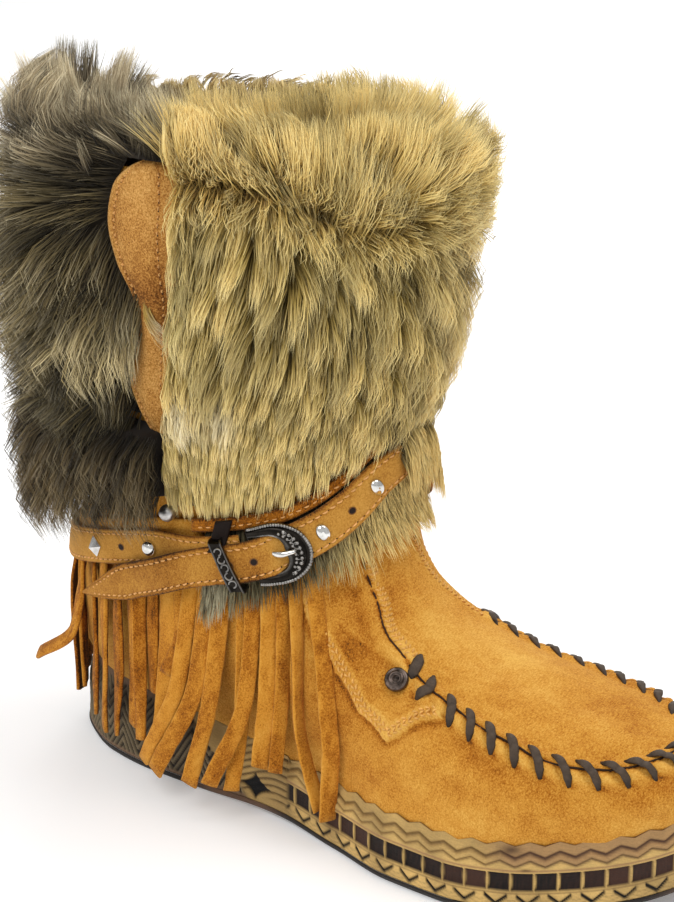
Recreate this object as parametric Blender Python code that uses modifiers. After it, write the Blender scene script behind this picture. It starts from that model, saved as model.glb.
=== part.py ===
"""A bohemian fur boot for the right foot.

A carved wedge sole carries a suede moccasin upper with a thong-laced apron. Fur wraps the shaft
and the ankle, a suede fringe hangs below it, and a buckled strap runs round the ankle.
Sizes are in millimetres here and become metres when a mesh is made. The toe points along +X, the
outer side of the foot is -Y, and the origin lies on the floor under the heel.
"""

import math

import bmesh
import bpy
import numpy as np
from mathutils import Vector
from mathutils.bvhtree import BVHTree

MM = 0.001

# ---------------------------------------------------------------- driving dimensions
SOLE_LENGTH = 262.0
HEEL_BACK = -50.0
BALL_WIDTH = 99.0
OUTSOLE_THICK = 2.4
FOREFOOT_HEIGHT = 23.0
HEEL_HEIGHT = 31.0
TOE_SPRING = 10.0
SPRING_START = 0.74
ARCH_RISE = 1.6
WALL = 2.2
GAP = 0.35
FEATHER_INSET = 4.0
COLLAR_HEIGHT = 232.0
LEG_X = 25.0
STRAP_WIDTH = 13.0
STRAP_THICK = 2.0
FRINGE_COUNT = 42
LACE_BARS = 25

# Half-widths of the sole, as shares of the ball width, along its length from heel to toe.
OUTLINE_COLUMNS = ("share", "outer", "inner")
OUTLINE = (
    (0.00, 0.000, 0.000),
    (0.05, 0.220, 0.210),
    (0.12, 0.318, 0.300),
    (0.20, 0.352, 0.330),
    (0.32, 0.358, 0.318),
    (0.44, 0.378, 0.335),
    (0.54, 0.432, 0.400),
    (0.64, 0.498, 0.466),
    (0.72, 0.505, 0.490),
    (0.80, 0.456, 0.482),
    (0.88, 0.352, 0.432),
    (0.95, 0.228, 0.335),
    (1.00, -0.050, 0.050),
)

# Sections of the last, from the toe to the collar. Each one runs from its foot, on the feather
# line or up the back of the heel, to its top, on the ridge or the front of the shaft.
# foot: share of the sole length, or None up the back; back_x, back_z: the foot there;
# top_x, top_z: the ridge; half: half-width midway; start: how far up the side the first control
# lies; swell: how far it stands out; middle: how far up the second lies; shoulder: fullness.
SECTION_COLUMNS = (
    "foot", "back_x", "back_z", "top_x", "top_z", "half", "start", "swell", "middle", "shoulder",
)
SECTIONS = (
    (1.000, 0.0, 0.0, 208.0, 33.0, 0.0, 0.45, 0.0, 0.90, 0.66),
    (0.990, 0.0, 0.0, 209.5, 41.5, 9.5, 0.45, 0.3, 0.90, 0.66),
    (0.950, 0.0, 0.0, 205.5, 51.0, 21.0, 0.45, 0.6, 0.90, 0.66),
    (0.870, 0.0, 0.0, 189.0, 57.5, 30.0, 0.42, 0.8, 0.88, 0.66),
    (0.770, 0.0, 0.0, 165.0, 61.5, 36.0, 0.40, 1.0, 0.86, 0.66),
    (0.660, 0.0, 0.0, 140.0, 66.0, 37.0, 0.36, 1.0, 0.84, 0.68),
    (0.540, 0.0, 0.0, 114.0, 74.0, 35.0, 0.31, 1.5, 0.78, 0.72),
    (0.420, 0.0, 0.0, 96.5, 86.0, 36.5, 0.27, 3.5, 0.68, 0.77),
    (0.300, 0.0, 0.0, 87.5, 100.5, 40.0, 0.23, 7.0, 0.60, 0.82),
    (0.170, 0.0, 0.0, 84.0, 117.0, 43.0, 0.20, 12.5, 0.56, 0.85),
    (0.060, 0.0, 0.0, 84.0, 131.0, 43.5, 0.15, 20.0, 0.53, 0.86),
    (0.000, -46.0, 31.35, 83.5, 140.0, 43.5, 0.00, 35.0, 0.50, 0.87),
    (None, -47.5, 52.0, 83.5, 149.0, 44.0, 0.00, 36.0, 0.50, 0.87),
    (None, -42.5, 84.0, 84.0, 162.5, 45.5, 0.00, 38.0, 0.50, 0.87),
    (None, -36.5, 120.0, 85.0, 180.0, 48.0, 0.00, 41.0, 0.50, 0.87),
    (None, -36.5, 175.0, 86.0, 205.0, 51.0, 0.00, 44.0, 0.50, 0.87),
    (None, -38.0, 232.0, 87.0, 232.0, 52.5, 0.00, 45.5, 0.50, 0.87),
)
FIRST_BACK = 11
RIDGE_SHIFT = 0.6


# ---------------------------------------------------------------- smooth tables
def slopes(xs, ys):
    """Slopes that keep a cubic through the points from overshooting."""
    steps = np.diff(xs)
    rises = np.diff(ys) / steps
    found = np.zeros(len(xs))
    found[0], found[-1] = rises[0], rises[-1]
    for i in range(1, len(xs) - 1):
        if rises[i - 1] * rises[i] > 0:
            a, b = 2 * steps[i] + steps[i - 1], steps[i] + 2 * steps[i - 1]
            found[i] = (a + b) / (a / rises[i - 1] + b / rises[i])
    return found


def smooth(xs, ys, x):
    """The value at x of a smooth curve through the points."""
    xs, ys = np.asarray(xs, float), np.asarray(ys, float)
    x = np.clip(x, xs[0], xs[-1])
    i = np.clip(np.searchsorted(xs, x) - 1, 0, len(xs) - 2)
    h = xs[i + 1] - xs[i]
    t = (x - xs[i]) / h
    m = slopes(xs, ys)
    return (
        (1 + 2 * t) * (1 - t) ** 2 * ys[i]
        + t * (1 - t) ** 2 * h * m[i]
        + t * t * (3 - 2 * t) * ys[i + 1]
        + t * t * (t - 1) * h * m[i + 1]
    )


def column(table, columns, name):
    return [row[columns.index(name)] for row in table]


def blend(a, b, t):
    return a + (b - a) * t


def ease(t):
    t = min(max(t, 0.0), 1.0)
    return t * t * (3 - 2 * t)


# ---------------------------------------------------------------- the sole's form
# An inset narrows the outline as if its sides lay this far from its middle line.
MEAN_HALF_WIDTH = 42.0


def turn_of(share):
    """The share of a half turn at which a share of the length is reached."""
    return math.acos(1 - 2 * min(max(share, 0.0), 1.0)) / math.pi


OUTLINE_TURNS = [turn_of(row[0]) for row in OUTLINE]


def sole_edge(turn, side, inset=0.0):
    """A point of the sole's outline; side is -1 on the outer side and 1 on the inner."""
    name = "outer" if side < 0 else "inner"
    half = smooth(OUTLINE_TURNS, column(OUTLINE, OUTLINE_COLUMNS, name), turn) * BALL_WIDTH
    length = SOLE_LENGTH - 2 * inset
    x = HEEL_BACK + inset + length * (1 - math.cos(math.pi * turn)) / 2
    return x, side * half * (1 - inset / MEAN_HALF_WIDTH)


def sole_bottom(x):
    """Height of the underside: flat at heel and ball, a low arch, and the toe spring."""
    share = (x - HEEL_BACK) / SOLE_LENGTH
    spring = max(0.0, (share - SPRING_START) / (1 - SPRING_START))
    arch = math.sin(math.pi * min(max((share - 0.28) / 0.26, 0.0), 1.0)) ** 2
    return TOE_SPRING * spring**2 + ARCH_RISE * arch


def sole_top(x):
    """Height of the seat that the upper stands on."""
    share = (x - HEEL_BACK) / SOLE_LENGTH
    spring = max(0.0, (share - SPRING_START) / (1 - SPRING_START))
    rise = ease((0.52 - share) / 0.40)
    return blend(FOREFOOT_HEIGHT, HEEL_HEIGHT, rise) + TOE_SPRING * spring**2


# ---------------------------------------------------------------- the upper's form
def section_value(name, v):
    rows = range(len(SECTIONS))
    return float(smooth(rows, column(SECTIONS, SECTION_COLUMNS, name), v))


FOOT_TURNS = [turn_of(row[0] or 0.0) for row in SECTIONS]


def upper_point(v, s):
    """A point of the upper's outer face. v runs over the sections, s from -1, the outer foot,
    over 0, the ridge, to 1, the inner foot."""
    side = -1 if s < 0 else 1
    if v <= FIRST_BACK:
        turn = float(smooth(range(len(FOOT_TURNS)), FOOT_TURNS, v))
        x, outer = sole_edge(turn, -1, FEATHER_INSET)
        inner = sole_edge(turn, 1, FEATHER_INSET)[1]
        foot = np.array([x, 0.0, sole_top(x) + GAP])
    else:
        outer = inner = 0.0
        rows = SECTIONS[FIRST_BACK:]
        keys = range(FIRST_BACK, len(SECTIONS))
        foot = np.array([
            float(smooth(keys, column(rows, SECTION_COLUMNS, "back_x"), v)),
            0.0,
            float(smooth(keys, column(rows, SECTION_COLUMNS, "back_z"), v)),
        ])
    middle = (outer + inner) / 2
    ridge = middle * RIDGE_SHIFT * 2 if v > 1 else middle
    top = np.array([section_value("top_x", v), 0.0, section_value("top_z", v)])
    end = outer if side < 0 else inner
    half = section_value("half", v)
    mid = side * half + middle
    start, swell = section_value("start", v), section_value("swell", v)
    shoulder = section_value("shoulder", v)
    y1 = end + side * swell
    y3 = ridge + (mid - ridge) * shoulder
    # Midway the five weights are 1, 4, 6, 4 and 1 sixteenths, and the curve passes through mid.
    y2 = (16 * mid - end - 4 * y1 - 4 * y3 - ridge) / 6
    ys = (end, y1, y2, y3, ridge)
    ts = (0.0, start, section_value("middle", v), 1.0, 1.0)
    u = 1 - abs(s)
    weights = (
        (1 - u) ** 4,
        4 * u * (1 - u) ** 3,
        6 * u**2 * (1 - u) ** 2,
        4 * u**3 * (1 - u),
        u**4,
    )
    t = sum(w * a for w, a in zip(weights, ts))
    y = sum(w * a for w, a in zip(weights, ys))
    place = foot + (top - foot) * t
    place[1] = y
    return place


# ---------------------------------------------------------------- making objects
for old in list(bpy.data.objects):
    bpy.data.objects.remove(old, do_unlink=True)

boot = bpy.data.collections.new("fur_boot")
bpy.context.scene.collection.children.link(boot)

FINISHES = {
    "rubber": ((0.045, 0.035, 0.030), 0.70, 0.0),
    "carved_sole": ((0.50, 0.38, 0.19), 0.60, 0.0),
    "insole": ((0.55, 0.42, 0.28), 0.85, 0.0),
    "suede": ((0.60, 0.33, 0.09), 0.95, 0.0),
    "strap": ((0.48, 0.27, 0.09), 0.80, 0.0),
    "gold_fur": ((0.50, 0.38, 0.15), 0.90, 0.0),
    "grey_fur": ((0.10, 0.085, 0.07), 0.90, 0.0),
    "thong": ((0.05, 0.04, 0.035), 0.60, 0.0),
    "dark_silver": ((0.16, 0.15, 0.14), 0.35, 1.0),
    "silver": ((0.72, 0.71, 0.68), 0.25, 1.0),
    "bronze": ((0.09, 0.06, 0.04), 0.45, 1.0),
}


def finish_of(name, kind):
    colour, roughness, metallic = FINISHES[kind]
    material = bpy.data.materials.new(name)
    material.use_nodes = True
    shader = material.node_tree.nodes["Principled BSDF"]
    shader.inputs["Base Color"].default_value = (*colour, 1.0)
    shader.inputs["Roughness"].default_value = roughness
    shader.inputs["Metallic"].default_value = metallic
    return material


def add_piece(name, points, faces, kind, sharp_degrees=40.0):
    """One object of the boot, from points in millimetres."""
    mesh = bpy.data.meshes.new(name)
    mesh.from_pydata([tuple(float(c) * MM for c in p) for p in points], [], faces)
    work = bmesh.new()
    work.from_mesh(mesh)
    bmesh.ops.remove_doubles(work, verts=work.verts, dist=0.00001)
    bmesh.ops.recalc_face_normals(work, faces=work.faces)
    work.to_mesh(mesh)
    work.free()
    mesh.materials.append(finish_of(name, kind))
    mesh.shade_smooth()
    mesh.set_sharp_from_angle(angle=math.radians(sharp_degrees))
    piece = bpy.data.objects.new(name, mesh)
    boot.objects.link(piece)
    return piece


def skin(loops, closed_path, capped=True):
    """Faces between loops of equal length that follow one another."""
    count, size = len(loops), len(loops[0])
    points = [p for loop in loops for p in loop]
    faces = []
    for i in range(count if closed_path else count - 1):
        a, b = i * size, (i + 1) % count * size
        for k in range(size):
            n = (k + 1) % size
            faces.append((a + k, a + n, b + n, b + k))
    if capped and not closed_path:
        faces.append(tuple(range(size)))
        faces.append(tuple(range((count - 1) * size, count * size)))
    return points, faces


# ---------------------------------------------------------------- sole
SOLE_STEPS = 34


def sole_loop(height, inset):
    """A loop round the sole: the outer side from heel to toe, then the inner side back."""
    steps = [(k / SOLE_STEPS, -1) for k in range(SOLE_STEPS + 1)]
    steps += [(k / SOLE_STEPS, 1) for k in range(SOLE_STEPS - 1, 0, -1)]
    loop = []
    for turn, side in steps:
        x = sole_edge(turn, side)[0]
        x, y = sole_edge(turn, side, inset(x))
        loop.append((x, y, height(x)))
    return loop


def sole_slab(name, levels, kind):
    """A solid with the sole's outline through levels of (height, inset), each a function of x."""
    loops = [sole_loop(height, inset) for height, inset in levels]
    points, faces = skin(loops, closed_path=False, capped=False)
    size = len(loops[0])
    for start in (0, (len(loops) - 1) * size):
        for k in range(SOLE_STEPS):
            across = [start + k, start + k + 1, start + (size - k - 1) % size, start + (size - k) % size]
            faces.append(tuple(dict.fromkeys(across)))
    return add_piece(name, points, faces, kind)


CHANNEL_LOW, CHANNEL_HIGH = 8.4, 15.3
CHANNEL_DEPTH = 0.9
CHANNEL_START = 60.0


def constant(value):
    return lambda x: value


def above_bottom(rise):
    return lambda x: sole_bottom(x) + rise


def channel(base):
    """Inset of the carved channel, which fades out behind the waist."""
    return lambda x: base + CHANNEL_DEPTH * ease((x - CHANNEL_START) / 14.0)


sole_slab(
    "outsole",
    [(above_bottom(0.0), constant(0.9)), (above_bottom(OUTSOLE_THICK), constant(0.0))],
    "rubber",
)
MIDSOLE_BASE = OUTSOLE_THICK + GAP
sole_slab(
    "carved_midsole",
    [
        (above_bottom(MIDSOLE_BASE), constant(0.4)),
        (above_bottom(CHANNEL_LOW), constant(0.7)),
        (above_bottom(CHANNEL_LOW + 0.3), channel(0.7)),
        (above_bottom(CHANNEL_HIGH - 0.3), channel(0.9)),
        (above_bottom(CHANNEL_HIGH), constant(0.9)),
        (lambda x: sole_top(x) - 2.2, constant(1.7)),
        (sole_top, constant(3.0)),
    ],
    "carved_sole",
)
INSOLE_THICK = 3.0
INSOLE_INSET = FEATHER_INSET + WALL + 1.6
sole_slab(
    "insole",
    [
        (lambda x: sole_top(x) + GAP, constant(INSOLE_INSET)),
        (lambda x: sole_top(x) + GAP + INSOLE_THICK, constant(INSOLE_INSET)),
    ],
    "insole",
)

# ---------------------------------------------------------------- upper
UPPER_COLUMNS = 24
TOE_SECTIONS = 3


def upper_rows():
    rows = [0.0]
    for section in range(len(SECTIONS) - 1):
        parts = 3 if section < TOE_SECTIONS else 2
        rows += [section + (k + 1) / parts for k in range(parts)]
    return rows


def upper_sheet():
    """The upper's outer face as points and quads; its first row is one point at the toe."""
    rows = upper_rows()
    shares = [-1 + 2 * k / UPPER_COLUMNS for k in range(UPPER_COLUMNS + 1)]
    tip = upper_point(0.0, -1.0)
    points = [tip]
    for v in rows[1:]:
        points += [upper_point(v, s) for s in shares]
    width = len(shares)
    faces = [(0, 1 + k, 2 + k) for k in range(width - 1)]
    for i in range(len(rows) - 2):
        a, b = 1 + i * width, 1 + (i + 1) * width
        for k in range(width - 1):
            faces.append((a + k, b + k, b + k + 1, a + k + 1))
    return points, faces


sheet_points, sheet_faces = upper_sheet()
upper = add_piece("upper", sheet_points, sheet_faces, "suede", sharp_degrees=60.0)
wall = upper.modifiers.new("wall", "SOLIDIFY")
wall.thickness = WALL * MM
wall.offset = -1.0
wall.use_even_offset = True

form = BVHTree.FromPolygons(
    [Vector(tuple(float(c) for c in p)) for p in sheet_points], sheet_faces
)


def vertical_wall(inset, low, high):
    """A search tree of an upright wall along the sole's outline."""
    loops = [sole_loop(constant(level), constant(inset)) for level in (low, high)]
    points, faces = skin(loops, closed_path=False, capped=False)
    return BVHTree.FromPolygons([Vector(p) for p in points], faces)


rim = vertical_wall(0.0, -5.0, 60.0)


def ray_length(tree, psi, z):
    """Distance from the leg's axis to a tree's faces. psi is the turn in degrees from the toe's
    side (0) over the outer side (90) to the back (180)."""
    turn = math.radians(psi)
    start = Vector((LEG_X, 0.0, z))
    return tree.ray_cast(start, Vector((math.cos(turn), -math.sin(turn), 0.0)))[3]


def reach(psi, z):
    """Distance from the leg's axis to the upper's outer face."""
    return ray_length(form, psi, min(z, COLLAR_HEIGHT - 1.0))


def place(psi, z, radius):
    turn = math.radians(psi)
    return np.array([LEG_X + radius * math.cos(turn), -radius * math.sin(turn), z])


def wrap(psi, z, offset):
    """A point that stands off the upper's outer face, away from the leg's axis."""
    return place(psi, z, reach(psi, z) + offset)


def table_value(table, columns, name, key):
    """A column of a table, read as a smooth curve against its first column."""
    keys = column(table, columns, columns[0])
    return float(smooth(keys, column(table, columns, name), key))


def shell(piece, thickness):
    """Gives an open sheet its thickness, half to each side."""
    wall = piece.modifiers.new("wall", "SOLIDIFY")
    wall.thickness = thickness * MM
    wall.offset = 0.0
    return piece


# ---------------------------------------------------------------- ankle strap
# The strap's middle line round the leg: turn from the toe's side and height, for both sides.
STRAP_COLUMNS = ("turn", "height")
STRAP = (
    (0, 133.0), (10, 129.0), (22, 119.5), (32, 112.5), (44, 106.5), (70, 101.0),
    (97, 98.0), (127, 90.5), (155, 82.0), (180, 79.0),
)
# The strap's free end, past the buckle.
BILLET = (
    (44, 106.5), (50, 103.7), (56, 101.5), (68, 98.5), (79, 95.0), (92, 89.5), (107, 83.5),
    (120, 77.0), (134, 70.0),
)
STRAP_START = 56.0
BUCKLE_TURN = 44.0
RAMP_START, RAMP_END = 42.0, 48.0
STRAP_OVER_FUR, STRAP_OVER_SUEDE = 6.9, 4.0
BILLET_END_OFFSET = 6.5
BILLET_TIP = 134.0
TIP_LENGTH, TIP_BLUNT, TIP_ROUND = 26.0, 0.1, 0.8
LAYER_GAP = 0.4


def strap_height(psi):
    turn = abs((psi + 180.0) % 360.0 - 180.0)
    return table_value(STRAP, STRAP_COLUMNS, "height", turn)


def strap_offset(psi):
    """The inner face stands off over the fur at the front and lies on the suede behind."""
    turn = abs((psi + 180.0) % 360.0 - 180.0)
    return blend(STRAP_OVER_SUEDE, STRAP_OVER_FUR, ease((95.0 - turn) / 22.0))


def over_surface(psi, height, slope, along, across, offset):
    """A point beside a line round the leg: along and across it in mm, off the upper by offset."""
    per_degree = math.radians(reach(psi, height) + offset)
    run = math.hypot(per_degree, slope)
    a, b = per_degree / run, slope / run
    if a < 0:
        a, b = -a, -b
    turn = psi + (along * a - across * b) / per_degree
    return wrap(turn, height + along * b + across * a, offset)


def slope_of(height, psi):
    """Rise of a height function for each degree of turn."""
    return height(psi + 1.0) / 2 - height(psi - 1.0) / 2


def on_strap(psi, along, across, rise):
    """A point beside the strap's middle; rise is measured out from its inner face."""
    offset = strap_offset(psi) + rise
    return over_surface(psi, strap_height(psi), slope_of(strap_height, psi), along, across, offset)


def billet_height(psi):
    return table_value(BILLET, STRAP_COLUMNS, "height", psi)


def strap_path(turn):
    """Height function, offset and half-width of the strap after so many degrees of winding."""
    half = STRAP_WIDTH / 2
    psi = turn - 360.0
    lift = (STRAP_THICK + LAYER_GAP) * ease((psi - RAMP_START) / (RAMP_END - RAMP_START))
    if psi < BUCKLE_TURN:
        return strap_height, strap_offset(turn) + lift, half
    lying = strap_offset(psi) + lift
    free = blend(BILLET_END_OFFSET, STRAP_OVER_FUR + lift, ease((108.0 - psi) / 25.0))
    tip_height = billet_height(BILLET_TIP)
    to_tip = math.radians(BILLET_TIP - psi) * (reach(BILLET_TIP, tip_height) + BILLET_END_OFFSET)
    share = min(1.0, TIP_BLUNT + (max(to_tip, 0.0) / TIP_LENGTH) ** TIP_ROUND)
    return billet_height, max(lying, free), half * share


def make_strap():
    ramp = [RAMP_START, RAMP_START + 2.0, RAMP_START + 6.0, RAMP_END + 2.0]
    fine = ramp + [BILLET_TIP - 20.0, BILLET_TIP - 13.0, BILLET_TIP - 6.0, BILLET_TIP]
    turns = {STRAP_START + 7.5 * k for k in range(57)} | {360.0 + psi for psi in fine}
    turns = sorted(t for t in turns if t <= 360.0 + BILLET_TIP)
    turns = [t for t, n in zip(turns, turns[1:] + [1000.0]) if n - t > 1.2]
    loops = []
    for turn in turns:
        height, offset, half = strap_path(turn)
        psi = turn if turn < 360.0 else turn - 360.0
        slope = slope_of(height, psi)
        loops.append([
            over_surface(psi, height(psi), slope, 0.0, across, offset + rise)
            for across, rise in (
                (-half, 0.0), (half, 0.0), (half, STRAP_THICK), (-half, STRAP_THICK),
            )
        ])
    points, faces = skin(loops, closed_path=False)
    add_piece("ankle_strap", points, faces, "strap")


make_strap()

# ---------------------------------------------------------------- buckle, keeper and studs
BUCKLE_LENGTH, BUCKLE_HEIGHT = 22.0, 21.2
RING_WIDTH, RING_THICK = 3.2, 2.2
FRONT_WIDTH = 8.2
BAR_THICK, BAR_INSET = 1.7, 2.0
RING_OVER = STRAP_THICK + 2 * GAP + RING_THICK / 2
BAR_OVER = GAP + BAR_THICK / 2


def buckle_path():
    """The ring's middle line as along, across, and its width: a wide round front, straight arms
    and a bar."""
    front = BUCKLE_HEIGHT / 2 - RING_WIDTH / 2
    low = -(BUCKLE_LENGTH / 2 - RING_WIDTH / 2)
    bar = BUCKLE_LENGTH / 2 - BAR_INSET
    arc = []
    for k in range(13):
        angle = math.pi * k / 12
        extra = (FRONT_WIDTH - RING_WIDTH) * math.sin(angle) ** 2
        radius = front - extra / 2
        spot = low + front - radius * math.sin(angle), radius * math.cos(angle)
        arc.append((*spot, RING_WIDTH + extra))
    arm = [(blend(low + front, bar, t), -front, RING_WIDTH) for t in (0.4, 0.75, 0.95)]
    middle = [(bar, c, BAR_THICK) for c in (1.2 - front, -3.0, 3.0, front - 1.2)]
    return arc + arm + middle + [(a, -c, w) for a, c, w in reversed(arm)]


def make_buckle_frame():
    path = buckle_path()
    bar = max(along for along, across, width in path)
    loops = []
    for i, (along, across, width) in enumerate(path):
        before, after = path[i - 1], path[(i + 1) % len(path)]
        length = math.hypot(after[0] - before[0], after[1] - before[1])
        side = ((after[1] - before[1]) / length, -(after[0] - before[0]) / length)
        middle = blend(RING_OVER, BAR_OVER, ease((along - 1.0) / (bar - 3.0)))
        on_bar = along == bar
        half_thick = (BAR_THICK if on_bar else RING_THICK) / 2
        loop = []
        for k in range(8):
            angle = math.pi * k / 4
            reach_out = width / 2 * math.cos(angle)
            loop.append(on_strap(
                BUCKLE_TURN,
                along + side[0] * reach_out,
                across + side[1] * reach_out,
                middle + half_thick * math.sin(angle),
            ))
        loops.append(loop)
    points, faces = skin(loops, closed_path=True)
    add_piece("buckle_frame", points, faces, "dark_silver")


def rod(name, points, radius, kind):
    """A round rod with closed ends, through points in millimetres."""
    curve = bpy.data.curves.new(name, "CURVE")
    curve.dimensions = "3D"
    curve.bevel_depth = radius * MM
    curve.bevel_resolution = 2
    curve.use_fill_caps = True
    line = curve.splines.new("POLY")
    line.points.add(len(points) - 1)
    for spot, point in zip(line.points, points):
        spot.co = (*(float(c) * MM for c in point), 1.0)
    curve.materials.append(finish_of(name, kind))
    piece = bpy.data.objects.new(name, curve)
    boot.objects.link(piece)
    return piece


PRONG_RADIUS = 0.9
PRONG_BACK, PRONG_FRONT = 5.0, -5.6


def make_prong():
    rise = RING_OVER + RING_THICK / 2 + GAP + PRONG_RADIUS
    path = [
        on_strap(BUCKLE_TURN, blend(PRONG_BACK, PRONG_FRONT, k / 5), 0.0, rise)
        for k in range(6)
    ]
    rod("buckle_prong", path, PRONG_RADIUS, "silver")


KEEPER_TURN = 64.5
KEEPER_WIDTH, KEEPER_THICK = 4.3, 1.2
KEEPER_LEAN = 0.36


def make_keeper():
    """A metal loop round the strap and the free end that lies on it."""
    drop = strap_height(KEEPER_TURN) - billet_height(KEEPER_TURN)
    low, high = -STRAP_WIDTH / 2 - drop - LAYER_GAP, STRAP_WIDTH / 2 + LAYER_GAP
    under, over = -LAYER_GAP, 2 * STRAP_THICK + 2 * LAYER_GAP
    corners = [(low, under), (high, under), (high, over), (low, over)]
    outwards = [(-1, -1), (1, -1), (1, 1), (-1, 1)]
    ring = []
    for i in range(4):
        (c0, r0), (c1, r1) = corners[i], corners[(i + 1) % 4]
        (a0, b0), (a1, b1) = outwards[i], outwards[(i + 1) % 4]
        parts = 3 if r0 == r1 else 1
        for k in range(parts):
            t = k / parts
            ring.append((blend(c0, c1, t), blend(r0, r1, t), blend(a0, a1, t), blend(b0, b1, t)))
    loops = []
    for across, rise, a, b in ring:
        inner = (across, rise)
        outer = (across + (a if abs(a) == 1 else 0) * KEEPER_THICK, rise + b * KEEPER_THICK)
        loops.append([
            on_strap(KEEPER_TURN, side * KEEPER_WIDTH / 2 + KEEPER_LEAN * (spot[0] - high), *spot)
            for side, spot in ((-1, inner), (-1, outer), (1, outer), (1, inner))
        ])
    points, faces = skin(loops, closed_path=True)
    add_piece("strap_keeper", points, faces, "dark_silver")


def turned(name, profile, spot, normal, kind, stretch=1.0, steps=10):
    """A turned piece from a profile of (radius, height), top to bottom, standing on a surface."""
    mesh = bpy.data.meshes.new(name)
    points = [(r * MM, 0.0, h * MM) for r, h in profile]
    mesh.from_pydata(points, [(k, k + 1) for k in range(len(points) - 1)], [])
    mesh.materials.append(finish_of(name, kind))
    piece = bpy.data.objects.new(name, mesh)
    boot.objects.link(piece)
    lathe = piece.modifiers.new("lathe", "SCREW")
    lathe.steps = steps
    lathe.render_steps = steps
    lathe.use_merge_vertices = True
    lathe.merge_threshold = 0.00001
    up = Vector(normal).normalized()
    piece.rotation_mode = "QUATERNION"
    piece.rotation_quaternion = up.to_track_quat("Z", "Y")
    piece.location = Vector(tuple(float(c) * MM for c in spot))
    piece.scale = (1.0, stretch, 1.0)
    return piece


def strap_normal(psi, rise):
    """The way out of the strap's face."""
    ahead = on_strap(psi, 1.0, 0.0, rise) - on_strap(psi, -1.0, 0.0, rise)
    up = on_strap(psi, 0.0, 1.0, rise) - on_strap(psi, 0.0, -1.0, rise)
    normal = np.cross(ahead, up)
    return normal * math.copysign(1.0, normal @ (on_strap(psi, 0, 0, rise) - place(psi, 0, 0)))


def dome(radius, height):
    """Profile of a low dome with a flat foot."""
    steps = [math.pi / 2 * k / 3 for k in range(4)]
    return [(radius * math.sin(a), height * math.cos(a)) for a in steps] + [(0.0, 0.0)]


def strap_stud(name, psi, profile, stretch=1.0, steps=10):
    rise = STRAP_THICK + GAP
    turned(name, profile, on_strap(psi, 0.0, 0.0, rise), strap_normal(psi, rise), "silver",
           stretch, steps)


make_buckle_frame()
make_prong()
make_keeper()
for number, psi in enumerate((31.0, 14.0), start=1):
    strap_stud(f"oval_stud_{number}", psi, dome(2.3, 1.6), stretch=1.25)
strap_stud("round_stud", 97.0, dome(2.5, 1.8))
strap_stud("pyramid_stud", 127.0, [(0.0, 2.4), (3.4, 0.4), (3.4, 0.0), (0.0, 0.0)], steps=4)

# ---------------------------------------------------------------- suede hem and fringe
HEM_LOW, HEM_HIGH = 0.8, 10.5
HEM_FIRST, HEM_LAST = 74.0, 286.0
FRINGE_FIRST, FRINGE_LAST = 30.5, 329.5
FRINGE_TOP = -1.0
FRINGE_BAND = 4.5
FRINGE_STRAND = 5.0
FRINGE_BEND = 66.0
BEND_CLEAR = 2.3
FRINGE_OFF, FRINGE_THICK = 0.8, 1.4
FRINGE_LEAN = 7.0
SHEET_OFF = 0.5
SHEET_THICK = 1.6
HEM_OFF, HEM_THICK = 0.8, 2.0
TIP_HEIGHTS = (23.0, 17.0, 20.0, 25.0, 18.0)


def make_hem():
    middle = HEM_OFF + HEM_THICK / 2
    turns = [blend(HEM_FIRST, HEM_LAST, k / 36) for k in range(37)]
    rows = [
        [wrap(psi, strap_height(psi) + blend(HEM_LOW, HEM_HIGH, t), middle) for psi in turns]
        for t in (0.0, 0.5, 1.0)
    ]
    points, faces = strip(rows)
    shell(add_piece("ankle_hem", points, faces, "suede"), HEM_THICK)


def strip(rows):
    """Quads between rows of equal length."""
    width = len(rows[0])
    faces = [
        (i * width + k, i * width + k + 1, (i + 1) * width + k + 1, (i + 1) * width + k)
        for i in range(len(rows) - 1)
        for k in range(width - 1)
    ]
    return [p for row in rows for p in row], faces


def drape(psi, z, top):
    """Radius at which something hung from top lies at z: clear of the upper and the sole."""
    levels = [blend(z, top, k / 8) for k in range(9)]
    radius = max(reach(psi, max(level, HEEL_HEIGHT + 6.0)) for level in levels)
    if z < HEEL_HEIGHT + 12.0:
        radius = max(radius, ray_length(rim, psi, 10.0) + 0.4)
    return radius


def make_fringe():
    """A band under the strap whose lower part is cut into strands."""
    pitch = (FRINGE_LAST - FRINGE_FIRST) / FRINGE_COUNT
    points, faces = [], []
    for k in range(FRINGE_COUNT):
        middle = FRINGE_FIRST + (k + 0.5) * pitch
        top = strap_height(middle) + FRINGE_TOP
        lean = FRINGE_LEAN * (ease((64.0 - middle) / 34.0) - ease((middle - 296.0) / 34.0))
        levels = [top, top - FRINGE_BAND, FRINGE_BEND, TIP_HEIGHTS[k % len(TIP_HEIGHTS)]]
        for row, level in enumerate(levels):
            fall = (top - level) / (top - levels[-1])
            radius = drape(middle, level, top) + FRINGE_OFF + FRINGE_THICK / 2
            half = math.degrees(FRINGE_STRAND / 2 / radius)
            for side in (-1, 1):
                psi = middle + side * half + lean * fall
                z = strap_height(psi) + FRINGE_TOP - row * FRINGE_BAND if row < 2 else level
                out = drape(psi, z, top) + FRINGE_OFF + FRINGE_THICK / 2
                points.append(place(psi, z, out + (BEND_CLEAR if level == FRINGE_BEND else 0.0)))
        first = len(points) - 2 * len(levels)
        faces += [(first + 2 * r, first + 2 * r + 1, first + 2 * r + 3, first + 2 * r + 2)
                  for r in range(len(levels) - 1)]
        if k:
            before = first - 2 * len(levels)
            faces.append((before + 1, first, first + 2, before + 3))
    shell(add_piece("fringe", points, faces, "suede"), FRINGE_THICK)


make_hem()
make_fringe()

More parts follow.
